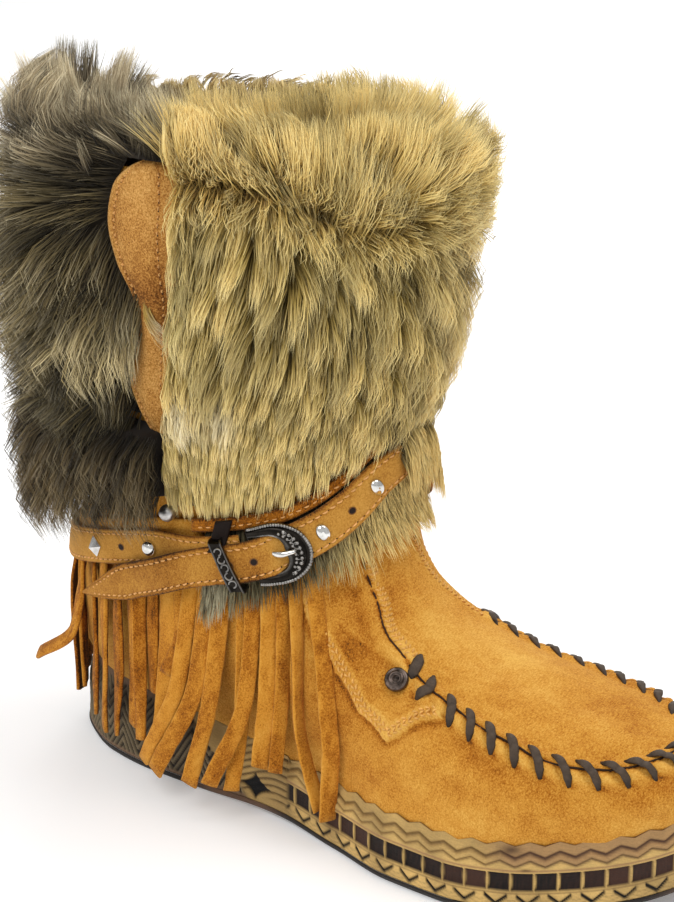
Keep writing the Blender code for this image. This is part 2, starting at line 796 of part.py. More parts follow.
# ---------------------------------------------------------------- suede closure
# The closure on the outer side of the shaft: the turns of the front fur's edge and of the
# facing's free back edge at each height.
EDGE_COLUMNS = ("height", "front", "back")
EDGES = (
    (108, 76.0, 96.0), (128, 84.0, 96.0), (140, 86.5, 97.0), (150, 85.5, 101.0),
    (158, 85.0, 103.5), (168, 84.0, 101.5), (178, 82.5, 98.0), (188, 81.5, 98.0),
    (200, 80.0, 105.5), (213, 78.5, 109.5), (225, 77.5, 107.0), (236, 78.0, 99.0),
)
EDGE_GAP = 1.2
FACING_LOW, FACING_HIGH = 139.0, 236.5


def edge(name, z):
    return table_value(EDGES, EDGE_COLUMNS, name, z)


def make_facing():
    rows = []
    count = 15
    for i in range(count):
        z = blend(FACING_LOW, FACING_HIGH, i / (count - 1))
        front, back = edge("front", z) + EDGE_GAP, edge("back", z) - EDGE_GAP
        round_end = math.sqrt(1.0 - (abs(2 * i / (count - 1) - 1.0) ** 14) * 0.75)
        middle, half = (front + back) / 2, (back - front) / 2 * round_end
        rows.append([
            wrap(middle + half * (k / 3 - 1), z, SHEET_OFF + SHEET_THICK / 2) for k in range(7)
        ])
    points, faces = strip(rows)
    shell(add_piece("closure_facing", points, faces, "suede"), SHEET_THICK)


make_facing()

# ---------------------------------------------------------------- fur
# How far the fur stands off the upper at each height.
DEPTH_COLUMNS = ("height", "depth")
FRONT_DEPTH = (
    (108, 6.0), (119, 6.4), (128, 9.0), (140, 12.5), (150, 16.0), (165, 20.5), (180, 22.5), (200, 23.5),
    (216, 25.0), (232, 27.0), (242, 23.0), (248, 13.0),
)
BACK_DEPTH = (
    (80, 16.0), (95, 22.0), (120, 27.0), (143, 28.0), (146, 25.0), (160, 29.0), (190, 31.0),
    (226, 31.0), (240, 27.0), (248, 16.0),
)
INNER_SEAM = -105.0
BACK_FIRST, HEM_FUR_FIRST = 110.5, 97.0
FUR_TOP = 248.0
FOLD_HEIGHT = 144.0
BACK_PARTING = 226.0
BAND_FIRST, BAND_LAST = -73.0, 72.0
FUR_BASE = 1.0


def front_parting(psi):
    """Height of the seam between the hanging front fur and the fur that stands at the collar."""
    return 218.0 + 10.0 * ease(abs(psi - 14.0) / 48.0)


def front_low(psi):
    return max(strap_height(psi) + 9.0, 112.5)


def hem_low(psi):
    return strap_height(psi) + HEM_HIGH + 0.8


def fur(name, kind, ends, heights, depth, base=FUR_BASE, across=20, up=4):
    """A fur piece: ends(z) gives its first and last turn, heights(psi) its low and high edge,
    depth(z) how far it stands off the upper."""
    loops = []
    for i in range(across + 1):
        u = i / across
        side = 1.0 - 0.5 * abs(2 * u - 1.0) ** 8
        inner, outer = [], []
        for j in range(up + 1):
            psi = blend(*ends(180.0), u)
            z = blend(*heights(psi), j / up)
            psi = blend(*ends(z), u)
            z = blend(*heights(psi), j / up)
            inner.append(wrap(psi, z, base))
            outer.append(wrap(psi, z, base + (depth(z) - base) * side))
        loops.append(inner + outer[::-1])
    points, faces = skin(loops, closed_path=False)
    return add_piece(name, points, faces, kind, sharp_degrees=50.0)


def depth_from(table):
    return lambda z: table_value(table, DEPTH_COLUMNS, "depth", z)


def front_ends(z):
    return INNER_SEAM + 0.3, edge("front", z)


def back_ends(z):
    return (BACK_FIRST if z > FOLD_HEIGHT - 1.0 else HEM_FUR_FIRST), 360.0 + INNER_SEAM - 0.3


fur(
    "front_fur", "gold_fur", front_ends,
    lambda psi: (front_low(psi), front_parting(psi) - 2 * GAP), depth_from(FRONT_DEPTH), up=5,
)
fur(
    "front_collar_fur", "gold_fur", front_ends,
    lambda psi: (front_parting(psi), FUR_TOP), depth_from(FRONT_DEPTH), up=4,
)
fur(
    "back_fur", "grey_fur", back_ends,
    lambda psi: (FOLD_HEIGHT, BACK_PARTING - GAP), depth_from(BACK_DEPTH), across=20, up=4,
)
fur(
    "back_collar_fur", "grey_fur", back_ends,
    lambda psi: (BACK_PARTING, FUR_TOP), depth_from(BACK_DEPTH), across=20, up=3,
)
fur(
    "back_hem_fur", "grey_fur", back_ends,
    lambda psi: (hem_low(psi), FOLD_HEIGHT - GAP), depth_from(BACK_DEPTH), base=1.4,
    across=26, up=4,
)
fur(
    "ankle_fur", "gold_fur", lambda z: (BAND_FIRST, BAND_LAST),
    lambda psi: (101.0 - 21.0 * (abs(psi) / 62.0) ** 1.6, strap_height(psi) + 7.5),
    lambda z: 4.9, base=3.8, across=20, up=5,
)

# ---------------------------------------------------------------- apron lacing
APRON_TIP, APRON_FRONT_LENGTH = 199.5, 43.0
APRON_OUTER, APRON_INNER = 32.5, 29.0
APRON_START = 109.0
APRON_NARROWING = 7.0
BAR_WIDTH, BAR_REACH = 3.3, 4.3
BAR_SLANT = 3.4
LACE_THICK = 1.5
LACE_OFF = 0.6


def apron_outline(steps):
    """The apron's seam seen from above: back along the outer side, round the toe and back."""
    middle = APRON_TIP - APRON_FRONT_LENGTH
    straight = middle - APRON_START
    points = []
    for k in range(steps):
        back = 1 - k / steps
        points.append((middle - straight * back, -APRON_OUTER + APRON_NARROWING * back**2))
    for k in range(2 * steps + 1):
        turn = math.pi * (k / (2 * steps) - 0.5)
        half = APRON_OUTER if turn < 0 else APRON_INNER
        points.append((middle + APRON_FRONT_LENGTH * math.cos(turn), half * math.sin(turn)))
    for k in range(steps):
        back = (k + 1) / steps
        points.append((middle - straight * back, APRON_INNER - APRON_NARROWING * back**2))
    return np.array(points)


def above_form(x, y, offset):
    """A point off the upper's outer face, over x and y seen from above."""
    spot, normal = form.ray_cast(Vector((x, y, 200.0)), Vector((0.0, 0.0, -1.0)))[:2]
    if normal.z < 0:
        normal = -normal
    return np.array(spot + normal * offset), np.array(normal)


def make_apron_lace():
    """A rail along the apron's seam with slanted bars across it, as one comb."""
    outline = apron_outline(40)
    seam = np.array([above_form(x, y, 0.0)[0] for x, y in outline])
    lengths = np.concatenate([[0.0], np.cumsum(np.linalg.norm(np.diff(seam, axis=0), axis=1))])
    pitch = lengths[-1] / LACE_BARS
    rows = (-BAR_REACH, -0.9, 0.9, BAR_REACH)
    points, faces = [], []
    for k in range(LACE_BARS):
        for side in (-1, 1):
            at = (k + 0.5) * pitch + side * BAR_WIDTH / 2
            for across in rows:
                where = min(max(at + BAR_SLANT * across / BAR_REACH, 0.5), lengths[-1] - 1.0)
                spot = [np.interp(where, lengths, outline[:, c]) for c in (0, 1)]
                ahead = [np.interp(where + 0.5, lengths, outline[:, c]) for c in (0, 1)]
                run = np.array(ahead) - np.array(spot)
                run /= np.linalg.norm(run)
                ground, normal = above_form(spot[0], spot[1], 0.0)
                slope = float(normal[2])
                out = across * (run[1] * slope), across * (-run[0] * slope)
                points.append(above_form(spot[0] + out[0], spot[1] + out[1],
                                         LACE_OFF + LACE_THICK / 2)[0])
        first = len(points) - 8
        for r in range(3):
            faces.append((first + r, first + r + 1, first + 5 + r, first + 4 + r))
        if k:
            faces.append((first - 3, first - 2, first + 2, first + 1))
    shell(add_piece("apron_lace", points, faces, "thong"), LACE_THICK)


make_apron_lace()

STUD_PROFILE = [(0.0, 2.4), (1.6, 2.2), (2.0, 1.6), (2.9, 1.6), (3.75, 0.9), (3.75, 0.0), (0.0, 0.0)]
for name, y in (("lace_stud_outer", -31.5), ("lace_stud_inner", 28.0)):
    spot, normal = above_form(107.0, y, GAP + 0.2)
    turned(name, STUD_PROFILE, spot, normal, "bronze")

SNAP_RADIUS = 2.7
SNAP_TURN, SNAP_HEIGHT = 87.5, 113.0
snap = [
    (SNAP_RADIUS * math.sin(a), SNAP_RADIUS * (0.8 + math.cos(a)))
    for a in (math.pi * 0.8 * k / 6 for k in range(7))
] + [(0.0, 0.0)]
outward = place(SNAP_TURN, 0.0, 1.0) - place(SNAP_TURN, 0.0, 0.0)
turned("snap_ball", snap, wrap(SNAP_TURN, SNAP_HEIGHT, GAP), outward, "silver")
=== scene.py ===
"""Looks of a fur boot with a carved wedge sole, a laced suede upper, a fringe and a buckled strap.

Lengths are in millimetres and become metres when a mesh is made. The toe points along +X, the
outer side of the foot is -Y and the floor is z = 0, as in the CAD model.
"""

import math
from itertools import product

import bpy
import numpy as np
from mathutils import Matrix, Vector
from mathutils.bvhtree import BVHTree


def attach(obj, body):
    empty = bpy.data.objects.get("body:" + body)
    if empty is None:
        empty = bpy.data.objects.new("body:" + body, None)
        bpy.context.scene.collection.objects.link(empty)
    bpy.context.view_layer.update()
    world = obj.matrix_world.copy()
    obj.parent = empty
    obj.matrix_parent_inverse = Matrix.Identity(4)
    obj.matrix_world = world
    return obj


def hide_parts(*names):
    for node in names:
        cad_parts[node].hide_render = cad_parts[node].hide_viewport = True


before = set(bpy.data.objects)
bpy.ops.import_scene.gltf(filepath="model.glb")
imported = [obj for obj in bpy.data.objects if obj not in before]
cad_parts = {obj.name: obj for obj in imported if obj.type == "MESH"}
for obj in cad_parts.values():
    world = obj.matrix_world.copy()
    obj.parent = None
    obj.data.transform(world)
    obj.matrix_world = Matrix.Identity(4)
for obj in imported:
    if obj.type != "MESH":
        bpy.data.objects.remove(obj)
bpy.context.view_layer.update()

MM = 0.001
rng = np.random.default_rng(7)

# ---------------------------------------------------------------- sizes shared with the CAD model
SOLE_LENGTH = 262.0
HEEL_BACK = -50.0
BALL_WIDTH = 99.0
OUTSOLE_THICK = 2.4
FOREFOOT_HEIGHT = 23.0
HEEL_HEIGHT = 31.0
TOE_SPRING = 10.0
SPRING_START = 0.74
ARCH_RISE = 1.6
# Shares of the sole's length: where the arch starts and how long it is, and where the rise from
# the forefoot to the heel ends and how long it is.
ARCH_START, ARCH_LENGTH = 0.28, 0.26
RISE_END, RISE_LENGTH = 0.52, 0.40
MEAN_HALF_WIDTH = 42.0
WALL = 2.2
GAP = 0.35
FEATHER_INSET = 4.0
COLLAR_HEIGHT = 232.0
LEG_X = 25.0

# The sole from heel to toe: share of its length, and its outer and inner half-widths as shares of
# the ball width.
OUTLINE = (
    (0.00, 0.000, 0.000), (0.05, 0.220, 0.210), (0.12, 0.318, 0.300), (0.20, 0.352, 0.330),
    (0.32, 0.358, 0.318), (0.44, 0.378, 0.335), (0.54, 0.432, 0.400), (0.64, 0.498, 0.466),
    (0.72, 0.505, 0.490), (0.80, 0.456, 0.482), (0.88, 0.352, 0.432), (0.95, 0.228, 0.335),
    (1.00, -0.050, 0.050),
)

# Sections of the last from the toe to the collar, as the CAD model has them.
SECTION_COLUMNS = (
    "foot", "back_x", "back_z", "top_x", "top_z", "half", "start", "swell", "middle", "shoulder",
)
SECTIONS = (
    (1.000, 0.0, 0.0, 208.0, 33.0, 0.0, 0.45, 0.0, 0.90, 0.66),
    (0.990, 0.0, 0.0, 209.5, 41.5, 9.5, 0.45, 0.3, 0.90, 0.66),
    (0.950, 0.0, 0.0, 205.5, 51.0, 21.0, 0.45, 0.6, 0.90, 0.66),
    (0.870, 0.0, 0.0, 189.0, 57.5, 30.0, 0.42, 0.8, 0.88, 0.66),
    (0.770, 0.0, 0.0, 165.0, 61.5, 36.0, 0.40, 1.0, 0.86, 0.66),
    (0.660, 0.0, 0.0, 140.0, 66.0, 37.0, 0.36, 1.0, 0.84, 0.68),
    (0.540, 0.0, 0.0, 114.0, 74.0, 35.0, 0.31, 1.5, 0.78, 0.72),
    (0.420, 0.0, 0.0, 96.5, 86.0, 36.5, 0.27, 3.5, 0.68, 0.77),
    (0.300, 0.0, 0.0, 87.5, 100.5, 40.0, 0.23, 7.0, 0.60, 0.82),
    (0.170, 0.0, 0.0, 84.0, 117.0, 43.0, 0.20, 12.5, 0.56, 0.85),
    (0.060, 0.0, 0.0, 84.0, 131.0, 43.5, 0.15, 20.0, 0.53, 0.86),
    (0.000, -46.0, 31.35, 83.5, 140.0, 43.5, 0.00, 35.0, 0.50, 0.87),
    (None, -47.5, 52.0, 83.5, 149.0, 44.0, 0.00, 36.0, 0.50, 0.87),
    (None, -42.5, 84.0, 84.0, 162.5, 45.5, 0.00, 38.0, 0.50, 0.87),
    (None, -36.5, 120.0, 85.0, 180.0, 48.0, 0.00, 41.0, 0.50, 0.87),
    (None, -36.5, 175.0, 86.0, 205.0, 51.0, 0.00, 44.0, 0.50, 0.87),
    (None, -38.0, 232.0, 87.0, 232.0, 52.5, 0.00, 45.5, 0.50, 0.87),
)
FIRST_BACK = 11
TOP_SECTION = len(SECTIONS) - 1
RIDGE_SHIFT = 0.6


# ---------------------------------------------------------------- smooth tables and small maths
def slopes(xs, ys):
    """Slopes that keep a cubic through the points from overshooting."""
    steps = np.diff(xs)
    rises = np.diff(ys) / steps
    found = np.zeros(len(xs))
    found[0], found[-1] = rises[0], rises[-1]
    for i in range(1, len(xs) - 1):
        if rises[i - 1] * rises[i] > 0:
            a, b = 2 * steps[i] + steps[i - 1], steps[i] + 2 * steps[i - 1]
            found[i] = (a + b) / (a / rises[i - 1] + b / rises[i])
    return found


def smooth(xs, ys, x):
    """Values at x of a smooth curve through the points."""
    xs, ys = np.asarray(xs, float), np.asarray(ys, float)
    x = np.clip(x, xs[0], xs[-1])
    i = np.clip(np.searchsorted(xs, x) - 1, 0, len(xs) - 2)
    h = xs[i + 1] - xs[i]
    t = (x - xs[i]) / h
    m = slopes(xs, ys)
    return (
        (1 + 2 * t) * (1 - t) ** 2 * ys[i]
        + t * (1 - t) ** 2 * h * m[i]
        + t * t * (3 - 2 * t) * ys[i + 1]
        + t * t * (t - 1) * h * m[i + 1]
    )


def curve(table, key, column=1):
    """A column of a table, read as a smooth curve against its first column."""
    return smooth([row[0] for row in table], [row[column] for row in table], key)


def blend(a, b, t):
    return a + (b - a) * t


def ease(t):
    """A smooth step from 0 to 1 as t goes from 0 to 1."""
    t = np.clip(t, 0.0, 1.0)
    return t * t * (3 - 2 * t)


def bell(x, width):
    """1 at x = 0, falling off to both sides over the width."""
    return np.exp(-((x / width) ** 2))


def unit(v):
    return v / np.maximum(np.linalg.norm(v, axis=-1, keepdims=True), 1e-9)


def join(*coordinates):
    """Points from their coordinates, any of which may be a single number."""
    return np.stack(np.broadcast_arrays(*coordinates), axis=-1)


def circle(count):
    """Cosines and sines of turns evenly spaced round a ring."""
    turns = np.arange(count) * 2 * math.pi / count
    return np.cos(turns), np.sin(turns)


def lengths_along(points):
    """Length of a line of points from the first one to each."""
    return np.concatenate([[0.0], np.cumsum(np.linalg.norm(np.diff(points, axis=0), axis=1))])


def read_line(values, lengths, at):
    """Points or ways that are given along a line, read at other lengths."""
    return np.stack([np.interp(at, lengths, column) for column in values.T], axis=-1)


def mix_colours(base, other, share):
    """The base colour with a share of the other one, for each place that has a share."""
    return base + (np.asarray(other) - base) * np.clip(share, 0.0, 1.0)[..., None]


def waves(points, scale, seed, count=7):
    """Smooth noise from -1 to 1 at points: a sum of plane waves about scale mm long."""
    own = np.random.default_rng(seed)
    total = np.zeros(points.shape[:-1])
    for _ in range(count):
        way = unit(own.normal(size=3)) * 2 * math.pi / (scale * own.uniform(0.6, 1.6))
        total += np.sin(points @ way + own.uniform(0, 2 * math.pi))
    return total / math.sqrt(count * 2.0)


# ---------------------------------------------------------------- the sole's and upper's form
def turn_of(share):
    return math.acos(1 - 2 * min(max(share, 0.0), 1.0)) / math.pi


OUTLINE_TURNS = [turn_of(row[0]) for row in OUTLINE]


def sole_edge(turn, side, inset=0.0):
    """Points of the sole's outline; side is -1 on the outer side and 1 on the inner."""
    turn, side = np.asarray(turn, float), np.asarray(side, float)
    outer = smooth(OUTLINE_TURNS, [row[1] for row in OUTLINE], turn)
    inner = smooth(OUTLINE_TURNS, [row[2] for row in OUTLINE], turn)
    half = np.where(side < 0, outer, inner) * BALL_WIDTH
    length = SOLE_LENGTH - 2 * inset
    x = HEEL_BACK + inset + length * (1 - np.cos(math.pi * turn)) / 2
    return x, side * half * (1 - inset / MEAN_HALF_WIDTH)


def toe_lift(x):
    share = (x - HEEL_BACK) / SOLE_LENGTH
    return TOE_SPRING * np.clip((share - SPRING_START) / (1 - SPRING_START), 0.0, 1.0) ** 2


def sole_bottom(x):
    share = (x - HEEL_BACK) / SOLE_LENGTH
    arch = np.sin(math.pi * np.clip((share - ARCH_START) / ARCH_LENGTH, 0.0, 1.0)) ** 2
    return toe_lift(x) + ARCH_RISE * arch


def sole_top(x):
    share = (x - HEEL_BACK) / SOLE_LENGTH
    rise = ease((RISE_END - share) / RISE_LENGTH)
    return blend(FOREFOOT_HEIGHT, HEEL_HEIGHT, rise) + toe_lift(x)


FOOT_TURNS = [turn_of(row[0] or 0.0) for row in SECTIONS]


def section_value(name, v):
    column = [row[SECTION_COLUMNS.index(name)] for row in SECTIONS]
    return smooth(range(len(SECTIONS)), column, v)


def upper_points(v, s):
    """Points of the upper's outer face. v runs over the sections, s from -1, the outer foot,
    over 0, the ridge, to 1, the inner foot."""
    v, s = np.broadcast_arrays(np.asarray(v, float), np.asarray(s, float))
    side = np.where(s < 0, -1.0, 1.0)
    back = v > FIRST_BACK
    turn = smooth(range(len(FOOT_TURNS)), FOOT_TURNS, v)
    x, outer = sole_edge(turn, -1.0, FEATHER_INSET)
    inner = sole_edge(turn, 1.0, FEATHER_INSET)[1]
    outer, inner = np.where(back, 0.0, outer), np.where(back, 0.0, inner)
    keys = range(FIRST_BACK, len(SECTIONS))
    up_x = smooth(keys, [row[1] for row in SECTIONS[FIRST_BACK:]], v)
    up_z = smooth(keys, [row[2] for row in SECTIONS[FIRST_BACK:]], v)
    foot_x, foot_z = np.where(back, up_x, x), np.where(back, up_z, sole_top(x) + GAP)
    middle = (outer + inner) / 2
    ridge = np.where(v > 1, middle * RIDGE_SHIFT * 2, middle)
    end = np.where(side < 0, outer, inner)
    mid = side * section_value("half", v) + middle
    y1 = end + side * section_value("swell", v)
    y3 = ridge + (mid - ridge) * section_value("shoulder", v)
    # at u = 1/2 the five weights are sixteenths, 1 4 6 4 1, and the curve passes through mid
    y2 = (mid - 0.0625 * end - 0.25 * y1 - 0.25 * y3 - 0.0625 * ridge) / 0.375
    ts = (0.0, section_value("start", v), section_value("middle", v), 1.0, 1.0)
    u = 1 - np.abs(s)
    weights = (
        (1 - u) ** 4, 4 * u * (1 - u) ** 3, 6 * u**2 * (1 - u) ** 2, 4 * u**3 * (1 - u), u**4,
    )
    t = sum(w * a for w, a in zip(weights, ts))
    y = sum(w * a for w, a in zip(weights, (end, y1, y2, y3, ridge)))
    x = foot_x + (section_value("top_x", v) - foot_x) * t
    z = foot_z + (section_value("top_z", v) - foot_z) * t
    return join(x, y, z)


# ---------------------------------------------------------------- meshes
def grid_faces(rows, columns, wrap_columns=False):
    """Quads of a grid whose points run row by row."""
    i = np.arange(rows - 1)[:, None] * columns
    k = np.arange(columns if wrap_columns else columns - 1)[None, :]
    along = (k + 1) % columns
    return join(i + k, i + along, i + columns + along, i + columns + k).reshape(-1, 4)


class Shape:
    """Collects points, faces and point colours, and makes one mesh object of them."""

    def __init__(self):
        self.points, self.faces, self.values, self.count = [], [], {}, 0

    def add(self, points, faces, **values):
        """Faces are one array, or several of different sizes; values are read for each point."""
        points = np.asarray(points, float).reshape(-1, 3)
        for part in faces if isinstance(faces, list) else [faces]:
            self.faces.append(np.asarray(part, np.int64) + self.count)
        for name, value in values.items():
            size = 3 if name == "tint" else 1
            full = np.broadcast_to(np.asarray(value, float).reshape(-1, size), (len(points), size))
            self.values.setdefault(name, []).append((self.count, full))
        self.points.append(points)
        self.count += len(points)

    def make(self, name, material, node_slot, replaced=(), sharp=None):
        points = np.concatenate(self.points) * MM
        mesh = bpy.data.meshes.new(name)
        mesh.vertices.add(len(points))
        mesh.vertices.foreach_set("co", points.astype(np.float32).ravel())
        corners = np.concatenate([f.ravel() for f in self.faces])
        totals = np.concatenate([np.full(len(f), f.shape[1]) for f in self.faces])
        mesh.loops.add(len(corners))
        mesh.loops.foreach_set("vertex_index", corners.astype(np.int32))
        mesh.polygons.add(len(totals))
        starts = np.concatenate([[0], np.cumsum(totals)[:-1]])
        mesh.polygons.foreach_set("loop_start", starts.astype(np.int32))
        for key, parts in self.values.items():
            size = parts[0][1].shape[1]
            full = np.zeros((self.count, size))
            for first, value in parts:
                full[first:first + len(value)] = value
            if size == 3:
                colour = mesh.color_attributes.new(key, "FLOAT_COLOR", "POINT")
                full = np.concatenate([full, np.ones((self.count, 1))], axis=1)
                colour.data.foreach_set("color", full.astype(np.float32).ravel())
            else:
                layer = mesh.attributes.new(key, "FLOAT", "POINT")
                layer.data.foreach_set("value", full.astype(np.float32).ravel())
        mesh.update(calc_edges=True)
        mesh.shade_smooth()
        if sharp is not None:
            mesh.set_sharp_from_angle(angle=math.radians(sharp))
        mesh.materials.append(material)
        piece = bpy.data.objects.new(name, mesh)
        bpy.context.scene.collection.objects.link(piece)
        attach(piece, "root")
        if replaced:
            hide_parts(*replaced)


# ---------------------------------------------------------------- materials
def srgb(*channels):
    """Linear colour of an 8-bit one."""
    return np.array([c / 255 / 12.92 if c < 10 else ((c / 255 + 0.055) / 1.055) ** 2.4
                     for c in channels])


class Finish:
    """A Principled material and short ways to add the nodes that drive it."""

    def __init__(self, name, roughness, metallic=0.0, specular=0.5, sheen=0.0, sheen_tint=(1, 1, 1)):
        self.material = bpy.data.materials.new(name)
        self.material.use_nodes = True
        self.nodes = self.material.node_tree.nodes
        self.links = self.material.node_tree.links
        self.shader = self.nodes["Principled BSDF"]
        settings = {
            "Roughness": roughness, "Metallic": metallic, "Specular IOR Level": specular,
            "Sheen Weight": sheen, "Sheen Tint": (*sheen_tint, 1.0),
        }
        for key, value in settings.items():
            self.shader.inputs[key].default_value = value

    def node(self, kind, **inputs):
        made = self.nodes.new(kind)
        for key, value in inputs.items():
            self.put(made.inputs[key.replace("_", " ")], value)
        return made

    def put(self, socket, value):
        if isinstance(value, bpy.types.NodeSocket):
            self.links.new(value, socket)
        else:
            socket.default_value = value

    def place(self, stretch=(1, 1, 1), turn=(0, 0, 0)):
        """Object coordinates in millimetres, stretched and turned."""
        spot = self.nodes.new("ShaderNodeTexCoord").outputs["Object"]
        mapping = self.node("ShaderNodeMapping", Vector=spot)
        mapping.inputs["Scale"].default_value = tuple(s / MM for s in stretch)
        mapping.inputs["Rotation"].default_value = turn
        return mapping.outputs["Vector"]

    def noise(self, scale, detail=3.0, roughness=0.55, where=None, distortion=0.0):
        """Noise whose grains are about 1 / scale mm."""
        made = self.node("ShaderNodeTexNoise", Vector=where or self.place(), Scale=scale,
                         Detail=detail, Roughness=roughness, Distortion=distortion)
        return made.outputs["Fac"]

    def math(self, operation, a, b=0.0):
        made = self.nodes.new("ShaderNodeMath")
        made.operation = operation
        self.put(made.inputs[0], a)
        self.put(made.inputs[1], b)
        return made.outputs[0]

    def ramp(self, value, *stops):
        """A colour ramp through (position, colour)."""
        made = self.node("ShaderNodeValToRGB", Fac=value)
        band = made.color_ramp
        while len(band.elements) < len(stops):
            band.elements.new(0.5)
        for element, (position, colour) in zip(band.elements, stops):
            element.position = position
            element.color = (*colour, 1.0)
        return made.outputs["Color"]

    def span(self, value, low, high, to_low, to_high):
        """A value from low to high, carried over to another range."""
        made = self.node("ShaderNodeMapRange", Value=value, From_Min=low, From_Max=high,
                         To_Min=to_low, To_Max=to_high)
        return made.outputs["Result"]

    def layer(self, name):
        """A layer that the mesh keeps for each point."""
        made = self.nodes.new("ShaderNodeAttribute")
        made.attribute_name = name
        return made

    def shade_tint(self, shade):
        """Base colour from the points' own tint, darker or lighter by the shade."""
        made = self.nodes.new("ShaderNodeMix")
        made.data_type = "RGBA"
        made.blend_type = "MULTIPLY"
        self.put(made.inputs["Factor"], 1.0)
        self.put(made.inputs[6], self.layer("tint").outputs["Color"])
        self.put(made.inputs[7], shade)
        self.colour(made.outputs[2])

    def bump(self, height, strength, depth):
        """Bump from a height of 0 to 1 that stands for depth mm."""
        made = self.node("ShaderNodeBump", Height=height)
        made.inputs["Strength"].default_value = strength
        made.inputs["Distance"].default_value = depth * MM
        self.links.new(made.outputs["Normal"], self.shader.inputs["Normal"])

    def colour(self, value):
        self.put(self.shader.inputs["Base Color"], value)


# ---------------------------------------------------------------- camera, light and floor
# The camera's place, its turn round the boot, how far it looks down, its lens and its sensor.
CAMERA_PLACE = (512.5, -627.2, 416.6)
CAMERA_TURN, CAMERA_TILT = math.radians(35.67), math.radians(20.5)
CAMERA_LENS, CAMERA_SENSOR = 95.14, 36.0
WORLD_LIGHT = 0.55
# The lamps all face one point: name, place in metres, size in metres and power in watts.
LIT_POINT = (0.06, 0.0, 0.10)
LAMPS = (
    ("key", (0.10, -1.15, 1.35), 0.9, 9.5),
    ("top", (0.55, 0.35, 1.55), 1.1, 11.0),
    ("side", (-1.35, -0.35, 0.75), 0.9, 4.0),
    ("back", (-0.5, 1.3, 0.9), 1.0, 6.0),
)
FLOOR_HALF = 6.0


def add_facing(name, data, spot, way):
    """An object at a place in metres that looks along a way."""
    item = bpy.data.objects.new(name, data)
    bpy.context.scene.collection.objects.link(item)
    item.location = spot
    item.rotation_mode = "QUATERNION"
    item.rotation_quaternion = way.to_track_quat("-Z", "Y")
    return item


def make_stage():
    scene = bpy.context.scene
    way = Vector((-math.sin(CAMERA_TURN) * math.cos(CAMERA_TILT),
                  math.cos(CAMERA_TURN) * math.cos(CAMERA_TILT), -math.sin(CAMERA_TILT)))
    lens = bpy.data.cameras.new("camera")
    lens.lens, lens.sensor_width = CAMERA_LENS, CAMERA_SENSOR
    lens.clip_start, lens.clip_end = 0.05, 50.0
    scene.camera = add_facing("camera", lens, Vector(CAMERA_PLACE) * MM, way)

    scene.view_settings.view_transform = "Standard"
    world = bpy.data.worlds.new("studio")
    world.use_nodes = True
    world.node_tree.nodes["Background"].inputs["Color"].default_value = (1.0, 1.0, 1.0, 1.0)
    world.node_tree.nodes["Background"].inputs["Strength"].default_value = WORLD_LIGHT
    scene.world = world
    for name, spot, size, power in LAMPS:
        lamp = bpy.data.lights.new(name, "AREA")
        lamp.size, lamp.energy = size, power
        add_facing(name, lamp, spot, Vector(LIT_POINT) - Vector(spot))

    mesh = bpy.data.meshes.new("floor")
    corners = [(x * FLOOR_HALF, y * FLOOR_HALF, 0.0) for x, y in ((-1, -1), (1, -1), (1, 1), (-1, 1))]
    mesh.from_pydata(corners, [], [(0, 1, 2, 3)])
    floor = bpy.data.objects.new("floor", mesh)
    scene.collection.objects.link(floor)
    paint = Finish("floor", roughness=0.9, specular=0.1)
    paint.colour((0.93, 0.93, 0.93, 1.0))
    paint.put(paint.shader.inputs["Emission Color"], (1.0, 1.0, 1.0, 1.0))
    paint.put(paint.shader.inputs["Emission Strength"], 0.18)
    mesh.materials.append(paint.material)


make_stage()

# ---------------------------------------------------------------- search trees over the form
FORM_V = np.linspace(0.0, TOP_SECTION, 129)
FORM_S = np.linspace(-1.0, 1.0, 145)
form_grid = upper_points(FORM_V[:, None], FORM_S[None, :])
form = BVHTree.FromPolygons(
    [Vector(p) for p in form_grid.reshape(-1, 3).tolist()],
    grid_faces(len(FORM_V), len(FORM_S)).tolist(),
)


def place(psi, z, radius):
    """Points round the leg's axis: psi is the turn in degrees from the toe's side (0) over the
    outer side (90) to the back (180)."""
    turn = np.radians(psi)
    return join(LEG_X + radius * np.cos(turn), -radius * np.sin(turn), z)


# The distance to the upper is measured once, on a grid of this many degrees and mm.
REACH_STEP = 1.5
REACH_TURNS = np.arange(0.0, 361.0, REACH_STEP)
REACH_HEIGHTS = np.arange(24.0, COLLAR_HEIGHT, REACH_STEP)


def measure_reach():
    """Distances from the leg's axis; above the upper's own edge the nearest one is kept."""
    found = np.zeros((len(REACH_TURNS), len(REACH_HEIGHTS)))
    for i, psi in enumerate(REACH_TURNS):
        turn = math.radians(psi)
        way = Vector((math.cos(turn), -math.sin(turn), 0.0))
        for k, z in enumerate(REACH_HEIGHTS):
            found[i, k] = form.ray_cast(Vector((LEG_X, 0.0, float(z))), way)[3] or np.nan
    for row in found:
        bad = np.isnan(row)
        row[bad] = np.interp(REACH_HEIGHTS[bad], REACH_HEIGHTS[~bad], row[~bad])
    return found


reach_grid = measure_reach()


def reach(psi, z):
    """Distance from the leg's axis to the upper's outer face."""
    psi, z = np.broadcast_arrays(np.asarray(psi, float) % 360.0, np.asarray(z, float))
    a = psi / REACH_STEP
    b = np.clip((z - REACH_HEIGHTS[0]) / REACH_STEP, 0, len(REACH_HEIGHTS) - 1.001)
    i, k = np.clip(a.astype(int), 0, len(REACH_TURNS) - 2), b.astype(int)
    p, q = a - i, b - k
    return (
        reach_grid[i, k] * (1 - p) * (1 - q) + reach_grid[i + 1, k] * p * (1 - q)
        + reach_grid[i, k + 1] * (1 - p) * q + reach_grid[i + 1, k + 1] * p * q
    )


